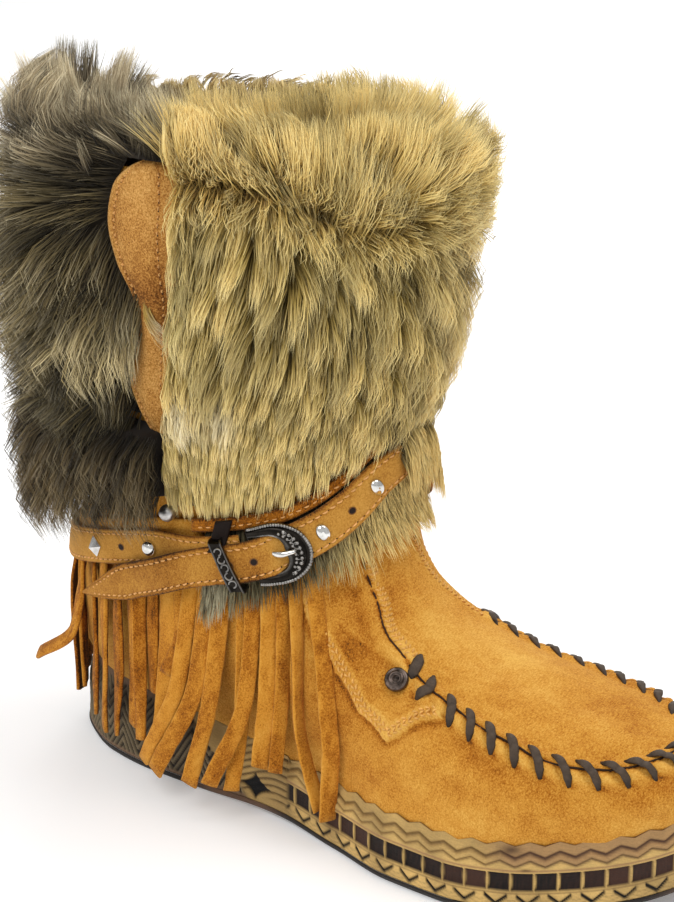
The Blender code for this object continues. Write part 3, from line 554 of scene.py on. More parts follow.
def wrap(psi, z, offset):
    """Points that stand off the upper's outer face, away from the leg's axis."""
    return place(psi, z, reach(psi, z) + offset)


def above_form(x, y):
    """Point and normal of the upper's outer face over x and y seen from above."""
    spot, normal = form.ray_cast(Vector((float(x), float(y), 200.0)), Vector((0.0, 0.0, -1.0)))[:2]
    return np.array(spot), np.array(normal if normal.z > 0 else -normal)


# ---------------------------------------------------------------- seams of the upper
APRON_TIP, APRON_FRONT_LENGTH = 199.5, 43.0
APRON_OUTER, APRON_INNER = 32.5, 29.0
APRON_START = 109.0
APRON_NARROWING = 7.0
STITCH_PITCH, STITCH_FIRST = 8.7, 1.8


def apron_outline(steps):
    """The apron's seam seen from above: back along the outer side, round the toe and back."""
    middle = APRON_TIP - APRON_FRONT_LENGTH
    straight = middle - APRON_START
    points = []
    for k in range(steps):
        back = 1 - k / steps
        points.append((middle - straight * back, -APRON_OUTER + APRON_NARROWING * back**2))
    for k in range(2 * steps + 1):
        turn = math.pi * (k / (2 * steps) - 0.5)
        half = APRON_OUTER if turn < 0 else APRON_INNER
        points.append((middle + APRON_FRONT_LENGTH * math.cos(turn), half * math.sin(turn)))
    for k in range(steps):
        back = (k + 1) / steps
        points.append((middle - straight * back, APRON_INNER - APRON_NARROWING * back**2))
    return np.array(points)


class Seam:
    """A line on the upper: its points, normals and lengths, and where other points lie by it."""

    def __init__(self, points, normals):
        self.points, self.normals = np.asarray(points), np.asarray(normals)
        self.lengths = lengths_along(self.points)
        self.ways = unit(np.gradient(self.points, axis=0))
        self.acrosses = unit(np.cross(self.normals, self.ways))

    def locate(self, points):
        """Along and across of each point; across is positive on the left of the line's way."""
        nearest = ((points[:, None] - self.points) ** 2).sum(-1).argmin(1)
        gap = points - self.points[nearest]
        ahead = (gap * self.ways[nearest]).sum(-1)
        side = np.sign((gap * self.acrosses[nearest]).sum(-1))
        off = np.sqrt(np.maximum((gap**2).sum(-1) - ahead**2, 0.0))
        return self.lengths[nearest] + ahead, side * off

    def at(self, along, across, rise):
        """Points beside the line at these lengths."""
        spots, sides, ups = (read_line(values, self.lengths, along)
                             for values in (self.points, self.acrosses, self.normals))
        return spots + sides * np.asarray(across)[..., None] + ups * np.asarray(rise)[..., None]


def on_form(spots):
    """A Seam through spots (x, y) seen from above."""
    found = [above_form(x, y) for x, y in spots]
    return Seam([p for p, n in found], [n for p, n in found])


def smooth_line(rows, step):
    """Dense points on a smooth curve through a few."""
    keys = lengths_along(rows)
    at = np.linspace(0.0, keys[-1], max(int(keys[-1] / step) + 1, 4))
    return np.stack([smooth(keys, rows[:, c], at) for c in range(rows.shape[1])], axis=-1)


apron_seam = on_form(apron_outline(70))


# About how many mm of the upper one section and one whole side are.
SECTION_SCALE = (20.0, 90.0)
SEAM_STEP = 0.6


def section_line(rows, side):
    """A Seam through rows of (section, share of the side), as the upper's own function has them."""
    line = smooth_line(np.asarray(rows) * (1, side) * SECTION_SCALE, SEAM_STEP) / SECTION_SCALE
    v, s = line[:, 0], line[:, 1]
    points = upper_points(v, s)
    down = upper_points(v + 0.02, s) - upper_points(v - 0.02, s)
    over = upper_points(v, s + 0.004) - upper_points(v, s - 0.004)
    normals = unit(np.cross(down, over))
    flip = np.sign((normals * (points - (LEG_X + 60.0, 0.0, 20.0))).sum(-1, keepdims=True))
    return Seam(points, normals * flip)


# The seam between front and quarter, and the pointed edge of the quarter's overlay, on the outer
# side; the inner side has the same seam.
SIDE_SEAM = (
    (6.00, 0.285), (6.15, 0.258), (6.60, 0.222), (7.20, 0.155), (7.85, 0.130), (8.80, 0.105),
)
OVERLAY_BACK = (
    (8.60, 0.30), (7.75, 0.37), (7.00, 0.435), (6.55, 0.50), (6.20, 0.575), (5.92, 0.605),
    (5.66, 0.645),
)
OVERLAY_FRONT = ((5.66, 0.645), (5.58, 0.60), (5.50, 0.525), (5.40, 0.46), (5.22, 0.415))

side_seams = {side: section_line(SIDE_SEAM, side) for side in (-1, 1)}
overlay_edges = {
    side: [section_line(rows, side) for rows in (OVERLAY_BACK, OVERLAY_FRONT)] for side in (-1, 1)
}


def inside(x, y, corners):
    """Which points lie in the polygon with these corners."""
    corners = corners.tolist()
    found = np.zeros(x.shape, bool)
    for (x0, y0), (x1, y1) in zip(corners, corners[1:] + corners[:1]):
        crosses = (y0 > y) != (y1 > y)
        with np.errstate(divide="ignore", invalid="ignore"):
            at = (x1 - x0) * (y - y0) / (y1 - y0) + x0
        found ^= crosses & (x < at)
    return found


STITCH_TOP, STITCH_FOOT = 3.4, -4.8
STITCH_ADVANCE = 8.2


def stitch_phase(along, across):
    """Turn within a lace stitch's repeat: 0 on a stitch and half a turn between two."""
    slant = (STITCH_TOP - across) / (STITCH_TOP - STITCH_FOOT) * STITCH_ADVANCE
    return 2 * math.pi * (along - STITCH_FIRST - slant) / STITCH_PITCH


def seam_height(along, across):
    """How far the suede stands up beside the laced apron seam."""
    ends = fade_in(along, apron_seam, 3.0, 5.0)
    between = 0.5 - 0.5 * np.cos(stitch_phase(along, across))
    lip = 1.25 * bell(np.abs(across) - 1.15, 1.1) * (0.60 + 0.60 * between)
    scallop = 1.5 * bell(across + 2.9, 1.7) * between
    apron_lip = 0.8 * bell(across - 2.4, 1.5) * between
    pull = 0.55 * (between - 0.5) * np.where(across < -4.0, np.exp((across + 4.0) / 7.0), 0.0)
    pull += 0.30 * (between - 0.5) * np.where(across > 3.0, np.exp((3.0 - across) / 4.0), 0.0)
    trough = -0.9 * bell(across + 7.5, 3.2)
    return ends * (lip + scallop + apron_lip + pull + trough)


UPPER_STEP = 1.15
UPPER_ACROSS = 175
# The rows are even in mm up to this section, and even in sections above it.
ANKLE_ROW = 12.3
# The section where the foot's laced part ends.
FOOT_TOP = 7.4
INSIDE_SPOT = (LEG_X + 55.0, 0.0, 25.0)


def upper_grid(rows, shares):
    """Sections, shares, points and outward normals of the upper on a grid."""
    v, s = np.meshgrid(rows, shares, indexing="ij")
    points = upper_points(v, s)
    normals = unit(np.cross(np.gradient(points, axis=0), np.gradient(points, axis=1)))
    outward = (normals * (points - INSIDE_SPOT)).sum(-1).mean()
    return v, s, points, normals * np.sign(outward)


def upper_rows():
    fine = np.linspace(0.004, ANKLE_ROW, 1500)
    lengths = lengths_along(upper_points(fine, -0.42))
    rows = np.interp(np.arange(0.0, lengths[-1], UPPER_STEP), lengths, fine)
    return np.concatenate([rows, np.linspace(ANKLE_ROW, TOP_SECTION, 14)])


def slack(points):
    """The soft rises and hollows of the suede over the foot."""
    return 0.45 * waves(points, 26.0, 11) + 0.16 * waves(points, 9.0, 12)


def fade_in(along, seam, start, length):
    """1 along a seam, fading out past both of its ends."""
    return ease((along + start) / length) * ease((seam.lengths[-1] + start - along) / length)


def shape_apron_seam(v, points, rise, tone):
    """The puckered suede beside the lacing, dark in the seam."""
    foot = v < FOOT_TOP
    along, across = apron_seam.locate(points[foot])
    rise[foot] += seam_height(along, across) * ease((FOOT_TOP - v[foot]) / 0.6)
    ends = fade_in(along, apron_seam, 2.0, 3.0)
    between = 0.5 - 0.5 * np.cos(stitch_phase(along, across))
    # painted highlights on the lumps between stitches, painted shade in the trough beyond them and under
    # each stitch, and the seam's own dark line
    tone[foot] += ends * (
        (0.35 + 0.55 * between) * bell(across + 2.8, 1.7) - 0.30 * bell(across + 8.0, 4.5)
        - 1.5 * bell(across, 0.42) - 1.1 * (1 - between) ** 3 * bell(across + 5.2, 1.2)
    )


def shape_side_seam(side, v, s, points, rise, tone):
    """The seam between front and quarter: a step, with a fold behind it."""
    near = (v > 5.6) & (v < 9.2) & (s * side > 0) & (np.abs(s) < 0.55)
    seam = side_seams[side]
    along, across = seam.locate(points[near])
    front = across * np.sign(seam.acrosses[0][0])
    live = ease((along + 1.0) / 2.0)
    rise[near] += live * (0.75 * ease(front / 0.6) * ease((9.0 - front) / 8.0)
                          - 0.5 * bell(front, 0.5) + 0.9 * bell(front + 3.0, 2.0)
                          - 0.8 * bell(front + 7.0, 2.6))
    # a lighter band on the front's edge, the dark seam line, a painted highlight on the fold and painted
    # shade in the trough behind it
    tone[near] += live * (0.75 * ease(front / 0.5) * ease((4.6 - front) / 0.9)
                          - 1.5 * bell(front + 0.15, 0.45) - 0.5 * bell(front + 6.5, 2.5)
                          + 0.25 * bell(front + 3.0, 1.6))


def shape_overlay(side, v, s, points, rise, tone):
    """The quarter's overlay, a second layer with a lighter band along its edge, and painted shadow just
    outside the edge.
    """
    near = (v > 4.8) & (v < 9.6) & (s * side > 0)
    corners = np.array([*OVERLAY_BACK, *OVERLAY_FRONT[1:], *SIDE_SEAM]) * SECTION_SCALE
    down, over = SECTION_SCALE
    within = inside(v[near] * down, np.abs(s[near]) * over, corners)
    gaps = np.minimum(*(
        np.sqrt(((points[near][:, None] - edge.points) ** 2).sum(-1)).min(1)
        for edge in overlay_edges[side]
    ))
    gaps = np.where(within, gaps, -gaps)
    rise[near] += (1.25 * ease((gaps + 0.35) / 0.9) * ease((14.0 - gaps) / 12.0)
                   - 0.30 * bell(gaps + 0.6, 0.6))
    tone[near] += ease(gaps / 0.5) * ease((5.8 - gaps) / 1.2) - 0.85 * bell(gaps + 0.9, 1.1)


def shape_upper():
    """The suede: laced seam, side seams, overlays and soft creases, with a tone for its colour."""
    v, s, points, normals = upper_grid(upper_rows(), np.linspace(-1.0, 1.0, UPPER_ACROSS))
    rise, tone = np.zeros(v.shape), np.zeros(v.shape)
    shape_apron_seam(v, points, rise, tone)
    for side in (-1, 1):
        shape_side_seam(side, v, s, points, rise, tone)
        shape_overlay(side, v, s, points, rise, tone)
    vamp = ease((7.5 - v) / 2.0)
    rise += vamp * slack(points)
    tone += 0.28 * waves(points, 30.0, 21) + 0.18 * waves(points, 12.0, 22)
    # painted highlight over the instep, and painted shade between the fringe and the overlay
    x, z = points[..., 0], points[..., 2]
    tone += 0.55 * vamp * bell(s, 0.34) * ease((v - 3.5) / 3.0)
    tone -= 0.80 * bell(x - 94.0, 10.0) * bell(z - 74.0, 24.0) * (np.abs(s) > 0.3)
    # lighter over the lowest 16 mm, and painted shade in the last 2 mm where the upper meets the sole
    low = z - sole_top(x)
    tone += 0.20 * ease((16.0 - low) / 12.0) - 0.35 * ease((2.0 - low) / 2.0)
    return points + normals * rise[..., None], normals, tone


def suede(name, light, middle, dark, deep, nap=1.0, coarse=1.0):
    """Napped leather that takes its tone from the points and is mottled round it."""
    finish = Finish(name, roughness=0.95, sheen=0.10, sheen_tint=(1.0, 0.80, 0.50), specular=0.15)
    tone = finish.layer("tone").outputs["Fac"]
    patches = finish.noise(0.050, 3.0, 0.55)
    clouds = finish.noise(0.22, 3.0, 0.6, distortion=0.3)
    grain = finish.noise(1.5, 4.0, 0.8)
    fibre = finish.noise(0.9, 2.0, 0.6, where=finish.place((2.6, 0.8, 2.0), (0.3, 0.2, 0.7)))
    total = finish.span(patches, 0.3, 0.7, -0.07, 0.07)
    for part in (
        finish.span(clouds, 0.3, 0.7, -0.06, 0.06),
        finish.span(grain, 0.34, 0.66, -0.16 * coarse, 0.16 * coarse),
        finish.span(fibre, 0.34, 0.66, -0.10, 0.10),
        finish.math("MULTIPLY", tone, 0.26),
        0.5,
    ):
        total = finish.math("ADD", total, part)
    finish.colour(finish.ramp(total, (0.02, deep), (0.28, dark), (0.54, middle), (0.90, light)))
    finish.bump(finish.math("ADD", finish.math("MULTIPLY", grain, 0.7), clouds), 0.45 * nap, 0.6)
    return finish.material


suede_finish = suede(
    "suede", srgb(232, 182, 90), srgb(206, 144, 54), srgb(166, 98, 22), srgb(66, 36, 12),
)


def make_upper():
    points, normals, tone = shape_upper()
    # the top edge turns in over the wall and down inside it
    rim = [points[row] - normals[row] * WALL for row in (-1, -3)]
    points = np.concatenate([points, np.stack(rim)])
    shape = Shape()
    shape.add(points, grid_faces(*points.shape[:2]), tone=np.concatenate([tone, tone[-2:]]))
    shape.make("suede_upper", suede_finish, "suede", ["upper"])


make_upper()


# ---------------------------------------------------------------- carved sole
SOLE_COLUMNS = 1000
MIDSOLE_BASE = OUTSOLE_THICK + GAP
# The recessed band of squares, the x from which it runs to the toe, and the heel's carving's end.
CHANNEL_LOW, CHANNEL_HIGH = 8.4, 15.3
SQUARES_FROM = 66.0
HEEL_CARVING_TO = 40.0
# Pitch of each repeat, and the run at which one of its cells starts.
SQUARE_PITCH, SQUARE_START = 7.9, -136.2
VEE_PITCH, VEE_START = 10.66, -131.2
WAVE_PITCH, WAVE_START = 10.07, -66.6
ZIGZAG_RISE = 2.0
# The zigzag's grooves: height, depth, width and darkness.
GROOVES = ((18.2, 0.60, 0.42, 0.85), (20.7, 0.70, 0.55, 1.0))
STAR_X, STAR_HEIGHT = 52.0, 8.6
# Burnt places: run, height, width and height of each.
BURNS = ((-73.0, 22.4, 3.3, 1.4), (-68.0, 16.4, 2.04, 0.63))
CREAM, OLIVE_CREAM, PALE_GROOVE = srgb(216, 178, 108), srgb(158, 130, 80), srgb(112, 84, 44)
MAUVE, DARK_MAUVE = srgb(146, 108, 78), srgb(70, 44, 34)
BLACK_STAIN, BROWN_STAIN = srgb(11, 9, 9), srgb(66, 42, 32)
OLIVE_RIDGE, HEEL_GROOVE = srgb(126, 110, 82), srgb(30, 24, 18)
# How brown each square's stain is, round the sole in turn.
SQUARE_STAINS = (0.7, 0.05, 0.0, 0.0, 0.1, 0.5, 0.85, 0.0, 0.05, 0.0, 0.1, 0.35, 0.9, 0.5)


def sole_round(columns):
    """Turn and side of columns evenly spaced round the outline, and their run from the toe: below
    0 on the outer side and above 0 on the inner."""
    fine = np.linspace(0.0, 1.0, 1500)
    outer, inner = (lengths_along(join(*sole_edge(fine, side))) for side in (-1, 1))
    total = outer[-1] + inner[-1]
    at = (np.arange(columns) + 0.5) * total / columns
    turns = np.where(at < outer[-1], np.interp(at, outer, fine), np.interp(total - at, inner, fine))
    return turns, np.where(at < outer[-1], -1.0, 1.0), at - outer[-1]


def zigzag(run):
    """Rise of the carved zigzag lines at a place along the sole."""
    return ZIGZAG_RISE * (np.abs(((run - WAVE_START) / WAVE_PITCH) % 1.0 - 0.5) * 2 - 0.5)


def carve_forefoot(run, height, spots, front, depth, tint):
    """Zigzag ridges above a band of stained squares, and V cuts below it."""
    stain = ease((run + 86.0) / 12.0 + 0.35 * waves(spots, 30.0, 31))
    zone = front * ease((height - 16.4) / 0.5)
    level = height - zigzag(run)
    ridges = ease((level - 18.2) / 0.5) * zone
    tint = mix_colours(tint, MAUVE, ridges * (0.05 + 0.60 * stain))
    tint = mix_colours(tint, OLIVE_CREAM, 0.32 * ridges * (1 - stain))
    for line, deep, width, dark in GROOVES:
        groove = bell(level - line, width) * zone
        depth += deep * groove
        tint = mix_colours(tint, mix_colours(PALE_GROOVE, DARK_MAUVE, stain), groove * dark)
    edge_line = bell(height - CHANNEL_HIGH - 0.75, 0.40) * front
    depth += 0.25 * edge_line
    tint = mix_colours(tint, MAUVE, 0.75 * edge_line)

    # the squares, between cream dividers shaped like a lens
    share = (run - SQUARE_START) / SQUARE_PITCH
    middle, half = (CHANNEL_LOW + CHANNEL_HIGH) / 2, (CHANNEL_HIGH - CHANNEL_LOW) / 2
    up = (height - middle) / half
    divider = np.abs(share - np.round(share)) * SQUARE_PITCH
    lens = 0.20 + 0.36 * np.sqrt(np.clip(1.0 - up**2, 0.0, 1.0))
    cut = ease((divider - lens) / 0.35 + 0.5) * ease((1.0 - np.abs(up)) * half / 0.35) * front
    depth += 0.85 * cut
    brown = np.asarray(SQUARE_STAINS)[np.floor(share).astype(int) % len(SQUARE_STAINS)]
    brush = 0.5 + 0.5 * waves(spots * (0.0, 3.2, 0.5), 3.0, 33)
    tint = mix_colours(tint, mix_colours(BLACK_STAIN, BROWN_STAIN, brown + 0.35 * brush), cut)
    border = bell(height - CHANNEL_LOW + 0.5, 0.32) * front
    depth += 0.18 * border
    tint = mix_colours(tint, DARK_MAUVE, 0.55 * border)

    # the V cuts, with fine cuts between them
    aside = np.abs(((run - VEE_START) / VEE_PITCH + 0.5) % 1.0 - 0.5) * VEE_PITCH
    vee = bell(height - 3.8 - aside * 0.80, 0.66) * ease((4.1 - aside) / 0.5) * front
    depth += 0.7 * vee
    tint = mix_colours(tint, BLACK_STAIN, 1.7 * vee)
    grain = bell((height - 4.4 + aside * 0.35) % 1.6 - 0.8, 0.22) * ease((6.2 - height) / 1.0)
    return mix_colours(tint, DARK_MAUVE, 0.35 * grain * front * (1 - vee))


def carve_waist(x, height, front, depth, tint):
    """Leaf-like lines, then a dark star."""
    waist = ease((x - HEEL_CARVING_TO) / 5.0) * (1 - front)
    bend = height - 10.0 - 2.6 * np.sin((x - 50.0) / 7.5) - (x - 60.0) * 0.10
    leaf = bell(((bend / 2.7) % 1.0 - 0.5) * 2.7, 0.40) * waist * ease((height - 5.0) / 1.5)
    depth += 0.55 * leaf
    tint = mix_colours(tint, srgb(84, 62, 34), 1.2 * leaf)
    a, b = (x - STAR_X) / 9.0, (height - STAR_HEIGHT) / 6.6
    star = ease((1.0 - (np.abs(a) ** 0.66 + np.abs(b) ** 0.66)) * 6.0)
    depth += 0.8 * star
    return mix_colours(tint, BLACK_STAIN, 1.1 * star)


def carve_heel(x, run, height, top, spots, depth, tint):
    """Nested chevrons round the heel."""
    heel = 1 - ease((x - HEEL_CARVING_TO + 1.2 * (height - 9.0)) / 3.0)
    fold = np.abs((run / 8.6 + 0.25) % 2.0 - 1.0) * 13.5
    stripe = 0.5 + 0.5 * np.cos(2 * math.pi * (height + fold) / 4.1)
    ridge = ease(stripe * 1.5 - 0.25)
    band = ease((height - MIDSOLE_BASE - 1.1) / 0.5) * ease((top - 1.2 - height) / 0.6)
    depth += heel * band * 0.85 * (1 - ridge)
    wood = mix_colours(OLIVE_RIDGE, HEEL_GROOVE,
                       0.10 + 0.25 * waves(spots, 14.0, 34) + 0.3 * ease((height - 14.0) / 8.0))
    wood = mix_colours(mix_colours(wood, HEEL_GROOVE, 1 - ridge), srgb(118, 92, 70), 0.8 * (1 - band))
    return mix_colours(tint, wood, heel)


def carve(x, run, height, top):
    """Depth in mm and colour of the carving at a place on the sole's side."""
    spots = join(x, run, height)
    front = ease((x - SQUARES_FROM) / 2.0)
    depth = np.zeros(run.shape)
    tint = mix_colours(CREAM, OLIVE_CREAM,
                       0.30 + 0.35 * waves(spots, 18.0, 32) + 0.35 * ease((100.0 - x) / 40.0))
    tint = carve_forefoot(run, height, spots, front, depth, tint)
    tint = carve_waist(x, height, front, depth, tint)
    tint = carve_heel(x, run, height, top, spots, depth, tint)
    for at_run, at_height, wide, high in BURNS:
        mark = bell(run - at_run, wide) * bell(height - at_height, high)
        tint = mix_colours(tint, srgb(60, 38, 28), 0.8 * mark)
    return depth, tint


def carved_finish():
    finish = Finish("carved_sole", roughness=0.66, specular=0.24)
    streaks = finish.noise(1.0, 4.0, 0.65, where=finish.place((0.35, 0.35, 3.0)))
    grain = finish.noise(1.6, 3.0, 0.7)
    finish.shade_tint(finish.math("ADD", finish.span(streaks, 0.3, 0.7, 0.86, 1.14),
                                  finish.span(grain, 0.3, 0.7, -0.10, 0.10)))
    finish.bump(finish.math("ADD", streaks, finish.math("MULTIPLY", grain, 0.6)), 0.5, 0.35)
    finish.put(finish.shader.inputs["Roughness"], finish.span(streaks, 0.3, 0.7, 0.5, 0.75))
    return finish.material


def make_sole():
    turns, sides, run = sole_round(SOLE_COLUMNS)
    edge_x = sole_edge(turns, sides)[0]
    top = sole_top(edge_x) - sole_bottom(edge_x)
    lip = top + 1.2 + np.where(edge_x > SQUARES_FROM, 0.85 * zigzag(run), 0.3)
    low = blend(MIDSOLE_BASE, CHANNEL_HIGH, np.linspace(0.0, 1.0, 26))[:, None] + 0 * top
    share = np.linspace(0.0, 1.0, 24)[1:, None]
    height = np.concatenate([low, CHANNEL_HIGH + (lip - CHANNEL_HIGH) * share])
    depth, tint = carve(edge_x + 0 * height, run + 0 * height, height, top)
    lean = 2.6 * ease((height - CHANNEL_HIGH) / (lip - CHANNEL_HIGH)) ** 1.5
    inset = 0.5 + 0.3 * ease((height - 4.0) / 6.0) + lean + depth
    # the wall turns in over its top and under its foot
    over = np.array([(0.15, 0.8), (1.4, 1.6), (4.0, 2.2)])[..., None]
    height = np.concatenate([height[:1], height, lip - over[:, 0]])
    inset = np.concatenate([inset[:1] + 3.0, inset, inset[-1] + over[:, 1]])
    rim = np.broadcast_to(srgb(58, 36, 20), (len(over), *run.shape, 3))
    tint = np.concatenate([tint[:1], tint, rim])
    x, y = sole_edge(turns, sides, inset)
    shape = Shape()
    faces = grid_faces(len(height), SOLE_COLUMNS, wrap_columns=True)[:, ::-1]
    shape.add(join(x, y, sole_bottom(edge_x) + height), faces, tint=tint)
    shape.make("carved_wedge_sole", carved, "carved_sole", ["carved_midsole"])


# Height and inset of the outsole's section, from under the foot to its upper edge.
OUTSOLE_SECTION = (
    (0.9, 30.0), (0.9, 9.0), (0.0, 7.0), (0.0, 2.2), (0.35, 1.1), (OUTSOLE_THICK - 0.3, 0.15),
    (OUTSOLE_THICK + GAP, 0.35),
)


def make_outsole():
    """The thin rubber under the wedge: dark under the forefoot and brown round the heel."""
    turns, sides, run = sole_round(420)
    base = sole_bottom(sole_edge(turns, sides)[0])
    rows = np.array([join(*sole_edge(turns, sides, inset), base + height)
                     for height, inset in OUTSOLE_SECTION])
    brown = ease((70.0 - rows[..., 0]) / 18.0) * ease((rows[..., 0] - 20.0) / 14.0)
    brown = np.maximum(brown, ease((run + 30.0) / 25.0) * (run > -60.0))
    tint = mix_colours(srgb(38, 32, 28), srgb(104, 78, 60), brown)
    shape = Shape()
    shape.add(rows, grid_faces(*rows.shape[:2], wrap_columns=True)[:, ::-1], tint=tint)
    shape.add(rows[0], np.arange(len(turns))[None, ::-1], tint=tint[0])
    shape.make("tread_outsole", carved, "outsole_rubber", ["outsole"], sharp=50.0)


carved = carved_finish()
make_sole()
make_outsole()


# ---------------------------------------------------------------- threads, holes and lathe pieces
def ring_faces(rows, size):
    """Quads round a tube whose rings follow one another, and its two end faces."""
    end = np.arange(size)[None]
    return [grid_faces(rows, size, wrap_columns=True), end[:, ::-1], end + (rows - 1) * size]


def add_rings(shape, rings, **values):
    """A closed tube from rings of points."""
    rings = np.asarray(rings)
    shape.add(rings, ring_faces(*rings.shape[:2]), **values)


def across_of(path, normals):
    """Ways across a path, in the plane square to the normals, and up from it."""
    ways = unit(np.gradient(path, axis=0))
    sides = unit(np.cross(ways, normals))
    return sides, unit(np.cross(sides, ways))


def sew(shape, path, normals, pitch, length, radius, colour, tilt=0.0, skip=0.0, holes=True):
    """Thread stitches along a dense path, each one a small arched capsule with a dark disc at its end,
    painted shade for its hole.
    """
    lengths = lengths_along(path)
    sides, ups = across_of(path, normals)
    lines = (path, unit(np.gradient(path, axis=0)), sides, ups)
    steps = np.linspace(-1.0, 1.0, 4)[:, None, None]
    c, s = (part[:, None] for part in circle(5))
    for at in np.arange(0.5 * pitch, lengths[-1] - 0.5 * length, pitch):
        if rng.random() < skip:
            continue
        centre, way, side, up = (read_line(values, lengths, at) for values in lines)
        lean = tilt + rng.normal(0.0, 0.07)
        own_way = way * math.cos(lean) + side * math.sin(lean)
        own_side = np.cross(up, own_way)
        half = length / 2 * rng.uniform(0.9, 1.08)
        middle = centre + own_way * half * steps + up * (radius * (0.75 - 1.5 * steps**2))
        rings = middle + radius * (1.0 - 0.45 * steps**4) * (c * own_side + s * up)
        add_rings(shape, rings, tint=colour * rng.uniform(0.88, 1.10))
        if holes:
            # a dark disc as painted shade in the stitch's hole
            hole = centre - own_way * (half + 0.10) + up * 0.04
            shape.add(hole + radius * 0.95 * (c * own_side + s * own_way),
                      np.arange(5)[None, ::-1], tint=HOLE_SHADE)


def turned(shape, profile, spot, normal, steps=28, stretch=1.0, along=(0.0, 0.0, 1.0)):
    """A turned piece from a profile of (radius, height), standing on a surface."""
    up = unit(np.asarray(normal, float))
    one = unit(np.cross(along, up))
    two = np.cross(up, one)
    c, s = (part[:, None] for part in circle(steps))
    add_rings(shape, [spot + radius * (c * one + stretch * s * two) + height * up
                      for radius, height in profile])


def metal(name, colour, dark, roughness, grain):
    """Cast metal, mottled between a dark colour and its own."""
    finish = Finish(name, roughness=roughness, metallic=1.0)
    wear = finish.noise(0.35, 4.0, 0.6)
    finish.colour(finish.ramp(wear, (0.35, dark), (0.62, colour)))
    finish.bump(finish.noise(0.9, 3.0, 0.6), grain, 0.08)
    return finish.material


def engraved_metal(name, roughness):
    """Metal that takes its colour from the points: dark in its ground, bright on its beads."""
    finish = Finish(name, roughness=roughness, metallic=1.0)
    wear = finish.span(finish.noise(0.8, 3.0, 0.6), 0.35, 0.65, 0.75, 1.25)
    finish.shade_tint(wear)
    return finish.material


def tinted(name, roughness, specular=0.3, grain=0.0, sheen=0.0):
    """A plain finish that takes its colour from the points, with a little grain."""
    finish = Finish(name, roughness=roughness, specular=specular, sheen=sheen)
    finish.shade_tint(finish.span(finish.noise(1.2, 3.0, 0.65), 0.3, 0.7, 1.0 - grain, 1.0 + grain))
    return finish.material


HOLE_SHADE = srgb(46, 26, 12)
THREAD_COLOUR = srgb(226, 170, 104)
thread_finish = tinted("thread", 0.75, grain=0.12)
bright_silver = metal("bright_silver", (0.82, 0.81, 0.78), (0.60, 0.59, 0.56), 0.16, 0.15)
engraved = engraved_metal("engraved_silver", 0.30)
SILVER_GROUND, SILVER_WORN = (0.022, 0.019, 0.016), (0.10, 0.093, 0.085)
SILVER_BEAD = (0.32, 0.305, 0.285)
bronze = metal("bronze", (0.16, 0.12, 0.10), (0.035, 0.028, 0.024), 0.36, 0.4)


# ---------------------------------------------------------------- apron lacing and its studs
THONG_LIGHT, THONG_DARK = srgb(74, 59, 45), srgb(18, 13, 10)
THONG_WIDTH, THONG_THICK = 3.1, 1.35
# Course of a lace stitch: share of its length, advance along the seam in mm, place across it.
LACE_COURSE = (
    (0.0, 0.3, 3.0), (0.22, 2.7, 2.1), (0.5, 5.4, -0.1), (0.78, 7.2, -2.9), (1.0, 8.0, -5.3),
)
# On the inner side the stitches lie flatter and nearly follow the seam.
FLAT_COURSE = (
    (0.0, 0.3, 2.8), (0.22, 2.9, 2.2), (0.5, 5.6, 0.4), (0.78, 7.6, -2.4), (1.0, 8.4, -4.8),
)
FIRST_STITCH = ((0.0, 0.2, 5.9), (0.35, 2.4, 3.6), (0.7, 4.4, 0.8), (1.0, 5.6, -2.2))
SECOND_STITCH = ((0.0, 10.1, 4.4), (0.3, 12.4, 2.0), (0.55, 13.7, -0.4), (1.0, 12.2, -5.6))
# How far a stitch's middle bows out, in mm, and how high it lies, in thicknesses.
BOWED, FLAT = (0.55, 0.55), (0.15, 0.3)
FLAT_FROM = 0.6


def add_lace_stitch(shape, course, start, wide, lie=BOWED):
    """A stitch of thong that rises out of the seam's one side and dips in at the other."""
    share = np.linspace(0.0, 1.0, 17)
    along, across = start + curve(course, share, 1), curve(course, share, 2)
    ground = apron_seam.at(along, across, 0 * along)
    dip = 1.4 * ease((0.16 - share) / 0.16) + 1.9 * ease((share - 0.84) / 0.16)
    bow, height = lie
    rise = seam_height(along, across) + slack(ground) - dip
    rise = rise + THONG_THICK * height + bow * np.sin(math.pi * share)
    path = apron_seam.at(along, across, rise)
    sides, ups = across_of(path, read_line(apron_seam.normals, apron_seam.lengths, along))
    width = THONG_WIDTH * (0.42 + 0.58 * ease(share / 0.35)) * (1 - 0.5 * ease((share - 0.80) / 0.20))
    c, s = circle(12)
    flat = np.sign(c) * np.abs(c) ** 0.75 / 2
    full = np.sign(s) * np.abs(s) ** 0.8 / 2
    twist = 0.25 * np.sin(math.pi * share)[:, None, None]
    side = sides[:, None] * np.cos(twist) + ups[:, None] * np.sin(twist)
    rings = (
        path[:, None] + side * (flat[None, :, None] * (wide * width)[:, None, None])
        + ups[:, None] * (full[None, :, None] * THONG_THICK)
    )
    # painted shade darkens the thong's ends, where it dips into the seam, and its underside, and a painted
    # highlight lightens its top; the noise adds its own streaks
    light = (0.35 + 0.65 * ease(share / 0.25) * ease((0.97 - share) / 0.25))[:, None]
    light = light * (0.72 + 0.28 * np.abs(full * 2) * (full > 0))
    light = light + 0.22 * waves(rings, 1.3, 41) + 0.18 * waves(rings, 4.0, 42)
    add_rings(shape, rings, tint=mix_colours(THONG_DARK, THONG_LIGHT, light))


